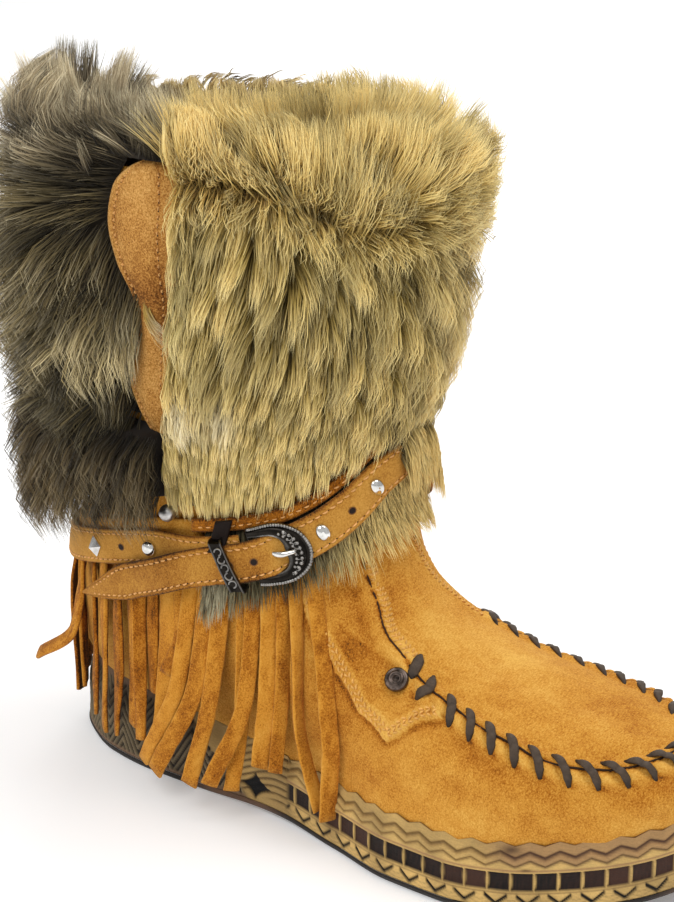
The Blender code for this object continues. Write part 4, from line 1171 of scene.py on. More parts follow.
def make_lacing():
    shape = Shape()
    add_lace_stitch(shape, FIRST_STITCH, 0.0, 1.25)
    add_lace_stitch(shape, SECOND_STITCH, 0.0, 1.15)
    end = apron_seam.lengths[-1]
    last = end + 2.0 - LACE_COURSE[-1][1]
    for place_along in np.arange(STITCH_FIRST + 2 * STITCH_PITCH, last, STITCH_PITCH):
        start = place_along + rng.normal(0.0, 0.25)
        course, lie = (FLAT_COURSE, FLAT) if start > FLAT_FROM * end else (LACE_COURSE, BOWED)
        add_lace_stitch(shape, course, start, rng.uniform(0.92, 1.05), lie)
    finish = Finish("thong", roughness=0.62, specular=0.35)
    streaks = finish.noise(1.4, 3.0, 0.7)
    finish.shade_tint(finish.span(streaks, 0.3, 0.7, 0.78, 1.22))
    finish.bump(streaks, 0.5, 0.25)
    shape.make("apron_lacing", finish.material, "thong", ["apron_lace"])


# Radius and height of a lace stud, from the middle of its head to its foot.
LACE_STUD = (
    (0.0, 2.35), (0.55, 2.25), (0.95, 1.85), (1.15, 1.35), (1.55, 1.25), (1.85, 1.75), (2.25, 1.85),
    (2.6, 1.55), (2.85, 1.0), (3.2, 0.95), (3.5, 1.2), (3.85, 1.05), (4.15, 0.5), (4.2, -0.4),
)


LACE_STUD_PLACES = (("lace_stud_outer", 109.0, -30.6), ("lace_stud_inner", 108.0, 28.5))


def make_lace_studs():
    for name, x, y in LACE_STUD_PLACES:
        spot, normal = above_form(x, y)
        shape = Shape()
        turned(shape, LACE_STUD, spot + normal * (1.0 + float(slack(spot))), normal)
        shape.make(f"ringed_{name}", bronze, "dark_bronze", [name])


def seam_cord(shape, seam, margin, across, radius, colour, height=lambda along, across: 0.0):
    """The dark line of a seam: a thin cord sunk between its two edges."""
    at = np.arange(margin, seam.lengths[-1] - margin, 0.8)
    wobble = across + 0.22 * waves(join(at, 0.0, 0.0), 9.0, 45)
    rise = slack(seam.at(at, wobble, 0 * at)) + height(at, wobble)
    path = seam.at(at, wobble, rise - 0.1 * radius)
    sides, ups = across_of(path, unit(seam.at(at, wobble, rise + 1.0) - path))
    c, s = (part[:, None] for part in circle(6))
    add_rings(shape, path[:, None] + radius * (c * sides[:, None] + s * ups[:, None]), tint=colour)


def make_seam_lines():
    shape = Shape()
    seam_cord(shape, apron_seam, 1.5, 0.35, 0.42, srgb(46, 28, 14), seam_height)
    for side in (-1, 1):
        seam_cord(shape, side_seams[side], 0.5, 0.0, 0.36, srgb(58, 34, 16))
    shape.make("dark_seam_lines", thread_finish, "suede")


make_lacing()
make_lace_studs()
make_seam_lines()


# ---------------------------------------------------------------- seams sewn on the upper
GOLDEN_THREAD = srgb(226, 172, 92)
# A spot on the overlay, as section and share of the side.
OVERLAY_MIDDLE = ((7.2, 0.36), (6.6, 0.40))


def row_beside(seam, at, across, lift):
    """Path and normals of a row of stitches beside a seam; lift(ground) is its height."""
    ground = seam.at(at, across + 0 * at, 0 * at)
    normals = unit(seam.at(at, across + 0 * at, 1.0 + 0 * at) - ground)
    return ground + normals * lift(ground)[:, None], normals


def make_upper_stitching():
    """Rows along the quarter's overlay, and the rough thread along the side seam."""
    shape = Shape()
    for side in (-1, 1):
        middle = section_line(OVERLAY_MIDDLE, side).points.mean(0)
        for edge in overlay_edges[side]:
            way = np.sign((edge.acrosses * (middle - edge.points)).sum(-1).mean())
            at = np.arange(1.5, edge.lengths[-1] - 1.0, 0.5)
            for row, tilt in ((1.5, 0.55), (2.7, -0.5), (3.9, 0.55)):
                line = row_beside(edge, at, way * row, lambda ground: 1.30 + slack(ground) * 0.8)
                sew(shape, *line, 2.3, 1.9, 0.36, GOLDEN_THREAD, tilt, skip=0.06, holes=False)
        seam = side_seams[side]
        front = np.sign(seam.acrosses[0][0])
        at = np.arange(3.0, seam.lengths[-1] - 1.0, 0.5)
        for row, tilt in ((1.3, 0.9), (2.4, -0.6), (3.5, -0.9)):
            line = row_beside(seam, at, front * row,
                              lambda ground: 0.72 + slack(ground) * ease((at - 20.0) / 20.0))
            sew(shape, *line, 1.9, 1.7, 0.34, GOLDEN_THREAD, tilt * front, skip=0.2, holes=False)
    shape.make("upper_stitching", thread_finish, "suede")


make_upper_stitching()


# ---------------------------------------------------------------- ankle strap
STRAP_WIDTH, STRAP_THICK = 13.0, 2.0
# The strap's middle line round the leg, and its free end past the buckle: turn and height.
STRAP = (
    (0, 133.0), (10, 129.0), (22, 119.5), (32, 112.5), (44, 106.5), (70, 101.0),
    (97, 98.0), (127, 90.5), (155, 82.0), (180, 79.0),
)
BILLET = (
    (44, 106.5), (50, 103.7), (56, 101.5), (68, 98.5), (79, 95.0), (92, 89.5), (107, 83.5),
    (120, 77.0), (134, 70.0),
)
STRAP_START = 56.0
STRAP_STEP = 1.1
BUCKLE_TURN = 44.0
# Where the strap climbs over its own start.
RAMP_START, RAMP_END = 42.0, 48.0
STRAP_OVER_FUR, STRAP_OVER_SUEDE = 6.9, 4.0
BILLET_END_OFFSET = 6.5
BILLET_TIP = 134.0
TIP_LENGTH = 26.0
LAYER_GAP = 0.4
STITCH_INSET = 1.75
# Holes of the strap, in degrees of its winding: 360 more than the turn where it laps itself.
STRAP_HOLES = (112.0, 382.0, 412.0, 420.0)


def from_toe(psi):
    """Degrees from the toe's side, counted alike on both sides."""
    return np.abs((np.asarray(psi, float) + 180.0) % 360.0 - 180.0)


def strap_height(psi):
    return curve(STRAP, from_toe(psi))


def strap_offset(psi):
    """The inner face stands off over the fur at the front and lies on the suede behind."""
    return blend(STRAP_OVER_SUEDE, STRAP_OVER_FUR, ease((95.0 - from_toe(psi)) / 22.0))


def billet_height(psi):
    return curve(BILLET, psi)


def over_surface(psi, height, slope, along, across, offset):
    """Points beside a line round the leg: along and across it in mm, off the upper by offset."""
    per_degree = np.radians(reach(psi, height) + offset)
    run = np.hypot(per_degree, slope)
    a, b = per_degree / run, slope / run
    turn = psi + (along * a - across * b) / per_degree
    return wrap(turn, height + along * b + across * a, offset)


def slope_of(height, psi):
    """Rise of a line round the leg, in mm a degree."""
    return height(psi + 1.0) / 2 - height(psi - 1.0) / 2


def on_strap(psi, along, across, rise):
    """A point beside the strap's middle; rise is measured out from its inner face."""
    offset = strap_offset(psi) + rise
    return over_surface(psi, strap_height(psi), slope_of(strap_height, psi), along, across, offset)


def strap_lines(turns):
    """Turn, height, slope, offset and half-width of the strap after so many degrees of winding."""
    psi = np.where(turns > 360.0, turns - 360.0, turns)
    over = turns - 360.0
    lift = (STRAP_THICK + LAYER_GAP) * ease((over - RAMP_START) / (RAMP_END - RAMP_START))
    free = over >= BUCKLE_TURN
    height = np.where(free, billet_height(psi), strap_height(psi))
    slope = np.where(free, slope_of(billet_height, psi), slope_of(strap_height, psi))
    lying = strap_offset(psi) + lift
    loose = blend(BILLET_END_OFFSET, STRAP_OVER_FUR + lift, ease((108.0 - psi) / 25.0))
    offset = np.where(free, np.maximum(lying, loose), lying)
    left = np.radians(BILLET_TIP - psi) * (reach(BILLET_TIP, 70.0) + BILLET_END_OFFSET)
    taper = np.where(free, np.clip(0.05 + left / TIP_LENGTH, 0.0, 1.0) ** 0.8, 1.0)
    return psi, height, slope, offset, STRAP_WIDTH / 2 * taper


# Across and rise of the strap's outline from its outer face's middle to its edge, in mm.
STRAP_SECTION = (
    (0.0, 2.25), (2.6, 2.2), (4.0, 2.1), (4.75, 1.72), (5.4, 1.98), (6.0, 1.85), (6.38, 1.45),
    (6.5, 0.95), (6.35, 0.4), (5.9, 0.05), (3.0, 0.0),
)


def make_strap():
    turns = np.arange(STRAP_START, 360.0 + BILLET_TIP + 0.01, STRAP_STEP)
    turns = np.append(turns, 360.0 + BILLET_TIP)
    *line, offset, half = strap_lines(turns)
    right = np.array(STRAP_SECTION)
    section = np.concatenate([right, [(0.0, 0.0)], (right[::-1] * (-1.0, 1.0))[:-1]])
    scale = half / (STRAP_WIDTH / 2)
    rings = np.stack([over_surface(*line, 0.0, across * scale, offset + rise)
                      for across, rise in section], axis=1)
    edge, rise = np.abs(section[:, 0]), section[:, 1]
    tone = 0.25 - 1.3 * ease((edge - 5.6) / 0.8) * (rise > 0.7) - 0.8 * (rise < 0.7)
    tone = tone - 0.5 * bell(edge - 4.75, 0.5) * (rise > 1) + 0.35 * waves(rings, 16.0, 51)
    # the free end is darker
    tone = tone - 0.80 * ease((turns - 404.0) / 10.0)[:, None]
    shape = Shape()
    add_rings(shape, rings, tone=tone)
    shape.make("stitched_ankle_strap", strap_finish, "strap_suede", ["ankle_strap"])

    thread = Shape()
    wide = half > STITCH_INSET + 0.3
    line, offset, half = [part[wide] for part in line], offset[wide], half[wide]
    for side in (-1, 1):
        path, outer = (over_surface(*line, 0.0, side * (half - STITCH_INSET), offset + rise)
                       for rise in (1.78, 2.78))
        sew(thread, path, unit(outer - path), 3.0, 2.35, 0.34, THREAD_COLOUR, tilt=0.16 * side)
    c, s = circle(14)
    for winding in STRAP_HOLES:
        *line, offset, half = strap_lines(np.array([winding]))
        # a brown rim round a dark disc that is painted shade in the hole
        for radius, rise, colour in ((1.35, 2.30, srgb(120, 76, 34)), (1.0, 2.36, srgb(30, 16, 8))):
            disc = over_surface(*line, radius * 1.15 * c, radius * s, offset + rise)
            thread.add(disc, np.arange(14)[None], tint=colour)
    thread.make("strap_stitching", thread_finish, "strap_suede")


strap_finish = suede(
    "strap_suede", srgb(212, 160, 78), srgb(188, 134, 56), srgb(154, 98, 34), srgb(62, 34, 16), nap=0.6,
)
make_strap()

# ---------------------------------------------------------------- buckle, keeper and studs
RING_OVER = STRAP_THICK + GAP + 1.1
# The ring from the upper arm's end round the front to the lower arm's end: key, middle line along
# the strap (below 0 is the toe's side) and across it, and width.
RING = (
    (0, 9.4, 7.7, 2.8), (1, 6.0, 7.9, 3.1), (2, 2.0, 7.8, 3.6), (3, -1.6, 6.9, 4.6),
    (4, -4.2, 5.0, 6.3), (5, -5.8, 2.4, 7.7), (6, -6.2, -0.5, 8.2), (7, -5.6, -3.4, 7.4),
    (8, -3.8, -5.9, 5.7), (9, -0.8, -7.6, 4.2), (10, 2.6, -8.1, 3.4), (11, 6.5, -8.0, 3.0),
    (12, 9.4, -7.9, 2.8),
)


# Cast pieces: share of the half-width, and rise in mm, round their section.
RING_SECTION = (
    (1.0, -0.9), (1.02, 0.0), (0.98, 0.55), (0.80, 0.62), (0.70, 0.25), (0.55, 0.20), (0.42, 0.85),
    (0.2, 0.95), (-0.35, 0.95), (-0.6, 0.80), (-0.74, 0.35), (-0.86, 0.40), (-0.97, 0.50),
    (-1.02, 0.0), (-1.0, -0.9),
)
KEEPER_SECTION = (
    (-1.0, -0.5), (-1.0, 0.45), (-0.8, 0.6), (-0.68, 0.30), (0.62, 0.30), (0.74, 0.75),
    (0.95, 0.85), (1.0, 0.5), (1.0, -0.5),
)
BAR_ALONG, BAR_HALF, BAR_RADIUS = 9.2, 8.3, 0.85


def ring_at(key):
    return [curve(RING, key, column) for column in (1, 2, 3)]


def ring_lift(along):
    """The ring's arms sink towards the bar."""
    return RING_OVER - 1.2 * ease((along - 6.0) / 5.0)


def cast_tint(section, rows):
    """A cast piece's rims are rubbed brighter than the ground between them."""
    tint = [SILVER_WORN if abs(share) > 0.7 else SILVER_GROUND for share, rise in section]
    return np.tile(tint, (rows, 1))


def add_bead(shape, key, share, rise, radius):
    """A small bead on the ring, at a share of its half-width out from its middle."""
    along, across, width = ring_at(key)
    way = unit(np.subtract(ring_at(key + 0.05), ring_at(key - 0.05))[:2])
    along = along + way[1] * share * width / 2
    across = across - way[0] * share * width / 2
    c, s = circle(8)
    add_rings(shape, [
        on_strap(BUCKLE_TURN, along + radius * math.cos(a) * c, across + radius * math.cos(a) * s,
                 ring_lift(along) + rise + 0.8 * radius * math.sin(a))
        for a in (0.0, 0.5, 1.0, 1.35)
    ], tint=SILVER_BEAD)


def add_scroll(shape, turn, along, across, rise, angle, thin, sides):
    """A raised wire on cast metal along a curl."""
    c, s = circle(sides)
    c, s = c * thin, s * thin
    along, across, angle = along[:, None], across[:, None], angle[:, None]
    add_rings(shape, on_strap(turn, along + c * np.cos(angle), across + c * np.sin(angle), rise + s),
              tint=SILVER_BEAD)


def make_buckle():
    along, across, width = ring_at(np.linspace(0.0, 12.0, 97))
    step = unit(join(np.gradient(along), np.gradient(across)))
    out = join(step[:, 1], -step[:, 0]) * width[:, None] / 2
    shape = Shape()
    rings = np.stack([
        on_strap(BUCKLE_TURN, along + out[:, 0] * share, across + out[:, 1] * share,
                 ring_lift(along) + rise)
        for share, rise in RING_SECTION
    ], axis=1)
    add_rings(shape, rings, tint=cast_tint(RING_SECTION, len(rings)))
    c, s = circle(8)
    add_rings(shape, [
        on_strap(BUCKLE_TURN, BAR_ALONG + BAR_RADIUS * c, at + 0 * c, RING_OVER - 1.9 + BAR_RADIUS * s)
        for at in np.linspace(-BAR_HALF, BAR_HALF, 12)
    ], tint=SILVER_GROUND)
    # a row of beads round the rim, two rows over the wide front, and small spirals between them
    for key in np.arange(0.25, 11.9, 0.215):
        add_bead(shape, key, 0.88, 0.45, 0.56)
    for key in np.arange(3.4, 8.7, 0.55):
        for share, radius in ((0.12, 0.62), (-0.32, 0.50)):
            add_bead(shape, key + share, share, 0.85, radius)
    share = np.linspace(0.0, 1.0, 14)
    for number, key in enumerate(np.arange(3.6, 8.6, 0.62)):
        along, across, width = ring_at(key)
        angle = 1.6 * math.pi * share
        radius = (0.35 + 0.75 * share) * width / 6.2
        turn = angle * (1 if number % 2 else -1) + number
        add_scroll(shape, BUCKLE_TURN, along + radius * np.cos(turn), across + radius * np.sin(turn),
                   RING_OVER + 1.0, angle, 0.26 * (1 - 0.5 * share)[:, None], 5)
    shape.make("engraved_buckle", engraved, "dark_silver", ["buckle_frame"], sharp=50.0)


# Rise of the prong's middle line over the strap's inner face, from the bar to its tip.
PRONG = ((0.0, 1.6), (0.35, 1.6), (0.55, 4.4), (0.72, RING_OVER + 2.0), (1.0, RING_OVER + 1.9))


def make_prong():
    share = np.linspace(0.0, 1.0, 15)[:, None]
    radius = 0.95 * (1 - 0.35 * ease((share - 0.6) / 0.4))
    c, s = circle(10)
    rings = on_strap(BUCKLE_TURN, blend(BAR_ALONG, -4.8, share) + 0 * c, radius * 1.15 * c,
                     curve(PRONG, share) + radius * s)
    shape = Shape()
    add_rings(shape, rings)
    shape.make("bright_prong", bright_silver, "bright_silver", ["buckle_prong"])


KEEPER_TURN = 64.5
KEEPER_WIDTH = 4.9
# How far the keeper and its leather loop lean along the strap, in mm a mm across it.
KEEPER_LEAN, LOOP_LEAN = 0.36, -0.45
# Half-width shares and rises of the leather loop's section.
LOOP_SECTION = ((-1, 0.0), (-1, 0.9), (-0.7, 1.2), (0.7, 1.2), (1, 0.9), (1, 0.0))


def make_keeper():
    """An engraved metal loop round both layers, slanted, and the leather loop that holds it."""
    drop = float(strap_height(KEEPER_TURN) - billet_height(KEEPER_TURN))
    low, high = -STRAP_WIDTH / 2 - drop - 1.4, STRAP_WIDTH / 2 - drop + 1.6
    over = 2 * STRAP_THICK + 2 * LAYER_GAP + 0.7
    bow = [(blend(high - 0.2, low + 0.2, t), over + 0.35 * math.sin(math.pi * t))
           for t in np.linspace(0.08, 0.92, 10)]
    loop = np.array([
        (high, 0.4), (high + 0.25, over - 1.2), (high - 0.2, over), *bow,
        (low + 0.2, over), (low - 0.2, over - 1.2), (low, 0.4),
    ])
    way = np.gradient(loop, axis=0)
    square = unit(join(-way[:, 1], way[:, 0]))
    square = square * np.sign((square * (loop - loop.mean(0))).sum(-1, keepdims=True))
    shape = Shape()
    rings = np.stack([
        on_strap(KEEPER_TURN, -share * KEEPER_WIDTH / 2 + (loop[:, 0] - high) * KEEPER_LEAN,
                 *(loop + square * out).T)
        for share, out in KEEPER_SECTION
    ], axis=1)
    add_rings(shape, rings, tint=cast_tint(KEEPER_SECTION, len(rings)))
    # open scrolls one over the other, turned by halves
    for number, t in enumerate(np.linspace(0.12, 0.88, 5)):
        middle = blend(high - 1.0, low + 1.0, t)
        turns = np.linspace(0.0, 1.45 * math.pi, 14) + math.pi * number
        add_scroll(shape, KEEPER_TURN, (middle - high) * KEEPER_LEAN + 1.25 * np.cos(turns),
                   middle + 1.15 * np.sin(turns), over + 0.70, turns, 0.30, 6)
    shape.make("engraved_keeper", engraved, "dark_silver", ["strap_keeper"], sharp=45.0)

    # the leather loop behind the keeper, which rises under the fur
    up = np.linspace(high - 3.5, high + 6.5, 12)
    rise = 1.2 + 2.2 * ease((high + 1.0 - up) / 4.0)
    leather = Shape()
    add_rings(leather, np.stack([
        on_strap(KEEPER_TURN, side * 3.1 + (up - high) * LOOP_LEAN - 1.0, up, rise + out)
        for side, out in LOOP_SECTION
    ], axis=1), tint=srgb(26, 15, 10))
    leather.make("keeper_loop", tinted("keeper_leather", 0.6, 0.15, 0.2), "strap_suede")


def dome(radius, height, lip=0.35):
    steps = np.linspace(0.0, math.pi / 2, 9)
    return [(radius * math.sin(a), lip + height * math.cos(a)) for a in steps] + [(radius, -0.5)]


# Turn on the strap, profile, how much longer than wide, and number of sides of each stud.
STUDS = {
    "oval_stud_1": (31.0, dome(2.35, 1.55), 1.32, 28),
    "oval_stud_2": (14.0, dome(2.35, 1.55), 1.32, 28),
    "round_stud": (97.0, dome(2.8, 1.8), 1.0, 28),
    "pyramid_stud": (127.0, [(0.05, 2.9), (1.9, 1.7), (3.9, 0.35), (3.9, -0.4)], 1.0, 4),
}


def make_studs():
    for name, (psi, profile, stretch, steps) in STUDS.items():
        left, right, up, down = (on_strap(psi, *spot, STRAP_THICK)
                                 for spot in ((1.0, 0.0), (-1.0, 0.0), (0.0, 1.0), (0.0, -1.0)))
        spot = on_strap(psi, 0.0, 0.0, STRAP_THICK + GAP)
        normal = unit(np.cross(left - right, up - down))
        normal = normal * math.copysign(1.0, normal @ (spot - place(psi, 0, 0)))
        shape = Shape()
        turned(shape, profile, spot, normal, steps, stretch, np.cross(left - right, normal))
        shape.make(f"bright_{name}", bright_silver, "bright_silver", [name],
                   sharp=25.0 if steps == 4 else None)


make_buckle()
make_prong()
make_keeper()
make_studs()

# ---------------------------------------------------------------- suede hem and fringe
HEM_LOW, HEM_HIGH = 0.8, 10.5
HEM_FIRST, HEM_LAST = 74.0, 286.0
SHEET_STEP = 1.3
# The hem's front end, which runs on under the lower edge of the front fur.
HEM_END_FIRST = 8.0
FRINGE_TOP = -1.0


def sheet(shape, grid, thick, **values):
    """A closed sheet with rounded edges, from a grid of points on its middle round the leg."""
    rows, columns = grid.shape[:2]
    i = np.minimum(np.arange(rows), np.arange(rows)[::-1])[:, None]
    k = np.minimum(np.arange(columns), np.arange(columns)[::-1])[None, :]
    edge = np.minimum(np.minimum(i, k) / 1.5, 1.0)
    half = outward_of(grid) * (thick / 2 * (0.45 + 0.55 * edge))[..., None]
    count = rows * columns
    index = np.arange(count).reshape(rows, columns)
    loop = np.concatenate([index[0], index[1:, -1], index[-1, -2::-1], index[-2:0:-1, 0]])
    following = np.roll(loop, -1)
    faces = grid_faces(rows, columns)
    twice = {key: np.concatenate([value, value]) for key, value in values.items()}
    shape.add(np.concatenate([grid + half, grid - half]),
              [faces[:, ::-1], faces + count,
               join(loop, following, following + count, loop + count)], **twice)


def outward_of(grid):
    flat = (grid - (LEG_X, 0.0, 0.0)) * (1.0, 1.0, 0.0)
    return unit(flat)


def make_hem():
    psi = np.arange(HEM_FIRST, HEM_LAST + 0.1, SHEET_STEP)
    share = np.linspace(0.0, 1.0, 10)[:, None]
    z = strap_height(psi) + blend(HEM_LOW, HEM_HIGH, share)
    roll = 0.7 * bell(share - 0.12, 0.14) - 0.3 * bell(share - 0.34, 0.06)
    wave = 0.35 * waves(join(psi + 0 * z, 0.0, 0.0), 24.0, 61)
    tone = 0.1 + 0.4 * bell(share - 0.1, 0.2) - 0.5 * ease((0.06 - share) / 0.06) + 0 * z
    shape = Shape()
    sheet(shape, wrap(psi, z, 2.1 + roll + wave), 1.9, tone=tone)
    front = np.arange(HEM_END_FIRST, HEM_FIRST + 3.0, SHEET_STEP)
    rise = blend(7.4, 12.2, share) - 1.2 * ease((24.0 - front) / 16.0) * share
    # the front strip is painted dark as the shade under the front fur, darker still at its top and its foot
    tone = -0.95 - 0.7 * ease((share - 0.75) / 0.25) - 0.6 * ease((0.1 - share) / 0.1) + 0 * rise
    strip = wrap(front, strap_height(front) + rise, 5.4 + 0.5 * bell(share - 0.3, 0.2))
    sheet(shape, strip, 1.6, tone=tone)
    shape.make("stitched_ankle_hem", suede_finish, "suede", ["ankle_hem"])

    thread = Shape()
    for turns, height, offset, length, radius, tilt in (
        (front, 9.4, 6.45, 2.1, 0.28, 0.0),
        (psi, HEM_LOW + 3.2, 3.05, 2.2, 0.30, 0.12),
    ):
        line = wrap(turns, strap_height(turns) + height, offset)
        sew(thread, line, outward_of(line), 3.0, length, radius, THREAD_COLOUR, tilt)
    thread.make("hem_stitching", thread_finish, "suede")


# Strands of the fringe that show at the front, placed one by one: turns of the top, the bend and
# the tip, heights of the bend and the tip, width, how far the bend and the tip stand off, and the
# degrees by which the strand is turned on edge midway.
STRAND_COLUMNS = ("top", "bend", "tip", "bend_z", "tip_z", "width", "bend_out", "tip_out", "twist")
STRANDS = (
    (33.0, 33.4, 34.0, 50, 12, 6.2, 3.0, 2.6, 0),
    (38.2, 39.6, 35.4, 50, 15, 5.0, 3.6, 4.4, 40),
    (41.8, 43.8, 46.0, 50, 24, 5.2, 1.4, 1.4, 0),
    (46.2, 48.4, 51.0, 52, 25, 6.2, 3.4, 2.4, 0),
    (50.8, 55.6, 69.0, 50, 16, 6.0, 4.2, 3.2, 0),
    (55.0, 57.0, 61.5, 44, 13, 5.6, 1.6, 1.6, 0),
    (62.5, 69.5, 79.5, 46, 12, 6.2, 4.0, 3.0, 0),
    (69.5, 75.5, 97.0, 52, 12, 6.4, 4.6, 4.0, 0),
    (77.0, 84.5, 106.0, 50, 13, 6.2, 4.4, 4.2, 0),
    (84.0, 86.0, 94.0, 66, 50, 5.2, 1.8, 1.8, 0),
    (91.0, 94.5, 99.0, 48, 24, 8.5, 1.2, 1.2, 0),
    (101.0, 103.5, 104.0, 48, 40, 5.0, 1.2, 1.2, 0),
    (108.5, 107.5, 109.0, 46, 20, 5.0, 3.4, 3.2, 72),
    (115.5, 111.5, 114.5, 46, 24, 5.4, 2.0, 1.8, 0),
    (122.0, 118.0, 125.5, 48, 18, 5.6, 3.6, 3.2, 0),
    (130.5, 126.5, 136.5, 48, 14, 6.2, 3.4, 3.2, 0),
    (138.5, 133.5, 145.0, 48, 17, 5.6, 2.4, 3.4, 0),
    (146.0, 142.0, 152.0, 52, 36, 5.4, 7.0, 21.0, 20),
)
# Plain strands go on from here round the back and the inner side.
INNER_STRANDS = 24
INNER_FIRST, LAST_STRAND_TURN = 149.0, 329.5
FRINGE_FIRST = 30.5


def outline_reach(psi):
    """Distance from the leg's axis to the sole's outline."""
    fine = np.linspace(0.001, 0.999, 500)
    x, y = np.concatenate([join(*sole_edge(fine, side)) for side in (-1, 1)]).T
    turns = np.degrees(np.arctan2(-y, x - LEG_X)) % 360.0
    return np.interp(np.asarray(psi) % 360.0, turns, np.hypot(x - LEG_X, y), period=360.0)


def strand_rows():
    """Every strand of the fringe: the placed ones and plain ones round the back and inside."""
    rows = [dict(zip(STRAND_COLUMNS, row)) for row in STRANDS]
    pitch = (LAST_STRAND_TURN - INNER_FIRST) / INNER_STRANDS
    for k in range(INNER_STRANDS):
        top = INNER_FIRST + (k + 0.5) * pitch
        sway = rng.normal(0.0, 2.4)
        rows.append({
            "top": top, "bend": top + sway * 0.5, "tip": top + sway, "bend_z": 48.0,
            "tip_z": rng.uniform(13.0, 24.0), "width": rng.uniform(5.2, 6.4),
            "bend_out": rng.uniform(1.5, 4.2), "tip_out": rng.uniform(1.6, 4.0), "twist": 0.0,
        })
    return rows


STRAND_STEPS = 27
STRAND_THICK = 1.5
# Shares of the half-width and of the thickness round a strand, which is slightly cupped.
STRAND_SECTION = np.array([
    (-1.0, 0.05), (-0.97, 0.75), (-0.80, 1.0), (-0.3, 1.12), (0.3, 1.12), (0.80, 1.0),
    (0.97, 0.75), (1.0, 0.05), (0.85, -0.55), (0.0, -0.40), (-0.85, -0.55),
])


def drape(psi, z):
    """Distance at which a strand hangs: off the upper, clear of the sole, and never sharply bent."""
    bare = np.maximum.accumulate(reach(psi, np.maximum(z, HEEL_HEIGHT + 6.0)))
    clear = np.maximum(bare, outline_reach(psi) + 0.6)
    bare = np.where(z < HEEL_HEIGHT + 9.0, clear, bare)
    eased = bare.copy()
    for _ in range(14):
        eased[1:-1] = np.maximum(bare[1:-1], (eased[:-2] + eased[2:]) / 2)
    return eased


def add_strand(shape, row, number):
    top_z = float(strap_height(row["top"])) + FRINGE_TOP + 1.0
    bend_z = row["bend_z"] if row["bend_z"] < top_z - 4.0 else (row["tip_z"] + top_z) / 2
    keys = (row["tip_z"], bend_z, top_z)
    z = np.linspace(top_z, row["tip_z"], STRAND_STEPS)
    psi = smooth(keys, (row["tip"], row["bend"], row["top"]), z)
    out = smooth(keys, (row["tip_out"], row["bend_out"], 1.7), z)
    path = place(psi, z, drape(psi, z) + out)
    sides, ups = across_of(path, outward_of(path))
    share = np.linspace(0.0, 1.0, STRAND_STEPS)
    turn = np.radians(row["twist"]) * np.sin(math.pi * share) ** 2
    turn = (turn + 0.16 * np.sin(share * 7.0 + number * 2.1))[:, None]
    side, up = sides * np.cos(turn) + ups * np.sin(turn), ups * np.cos(turn) - sides * np.sin(turn)
    ragged = 1.0 + 0.06 * waves(join(z, number * 9.0, 0.0), 7.0, 71)
    half = row["width"] / 2 * ragged * (0.90 + 0.10 * ease(share / 0.1))
    wide, deep = STRAND_SECTION[:, :1], STRAND_SECTION[:, 1:]
    rings = (
        path[:, None] + side[:, None] * (wide * half[:, None, None])
        + up[:, None] * ((deep - 0.3) * STRAND_THICK / 1.4)
    )
    # the tip is cut a little aslant
    slant = 0.28 * math.sin(number * 1.7)
    rings[-1] += unit(path[-1] - path[-2]) * (wide * half[-1] * slant)
    # strands round the back are painted darker as shade, and each strand's tone also differs a little
    own = 0.34 * math.sin(number * 2.6) - (0.65 if 92.0 < row["top"] < 170.0 else 0.15)
    tone = own + 0.45 * (np.abs(wide[:, 0]) > 0.95) - 1.2 * (deep[:, 0] < 0)
    # the top of each strand is painted dark as the shade under the strap
    tone = tone - 1.0 * ease((0.10 - share) / 0.10)[:, None] + 0.35 * waves(rings, 11.0, 72)
    tone = tone + 0.50 * waves(rings * (1.0, 1.0, 0.12), 1.7, 73)
    add_rings(shape, rings, tone=tone)


def make_fringe():
    psi = np.arange(FRINGE_FIRST, LAST_STRAND_TURN, 1.5)
    z = strap_height(psi) + np.linspace(1.5, -7.0, 6)[:, None]
    shape = Shape()
    # the band the strands hang from lies under the strap and is painted dark as its shade
    sheet(shape, wrap(psi, z, 1.0), 1.2, tone=-0.9 + 0 * z)
    for number, row in enumerate(strand_rows()):
        add_strand(shape, row, number)
    shape.make("suede_fringe", fringe_finish, "suede", ["fringe"])


fringe_finish = suede(
    "fringe_suede", srgb(220, 160, 68), srgb(202, 136, 44), srgb(156, 90, 18), srgb(56, 30, 10),
)
make_hem()
make_fringe()

# ---------------------------------------------------------------- closure facing and its snap
EDGE_COLUMNS = ("height", "front", "back")
EDGES = (
    (108, 76.0, 96.0), (128, 84.0, 96.0), (140, 86.5, 97.0), (150, 85.5, 101.0),
    (158, 85.0, 103.5), (168, 84.0, 101.5), (178, 82.5, 98.0), (188, 81.5, 98.0),
    (200, 80.0, 105.5), (213, 78.5, 109.5), (225, 77.5, 107.0), (236, 78.0, 99.0),
)
FACING_LOW, FACING_HIGH = 139.0, 236.5
FACING_ROWS, FACING_COLUMNS = 64, 22
# Share across the facing and pitch of each of its rows of stitches.
FACING_STITCHES = ((0.13, 2.5), (0.70, 2.8))


def edge_turn(name, z):
    return curve(EDGES, z, EDGE_COLUMNS.index(name))


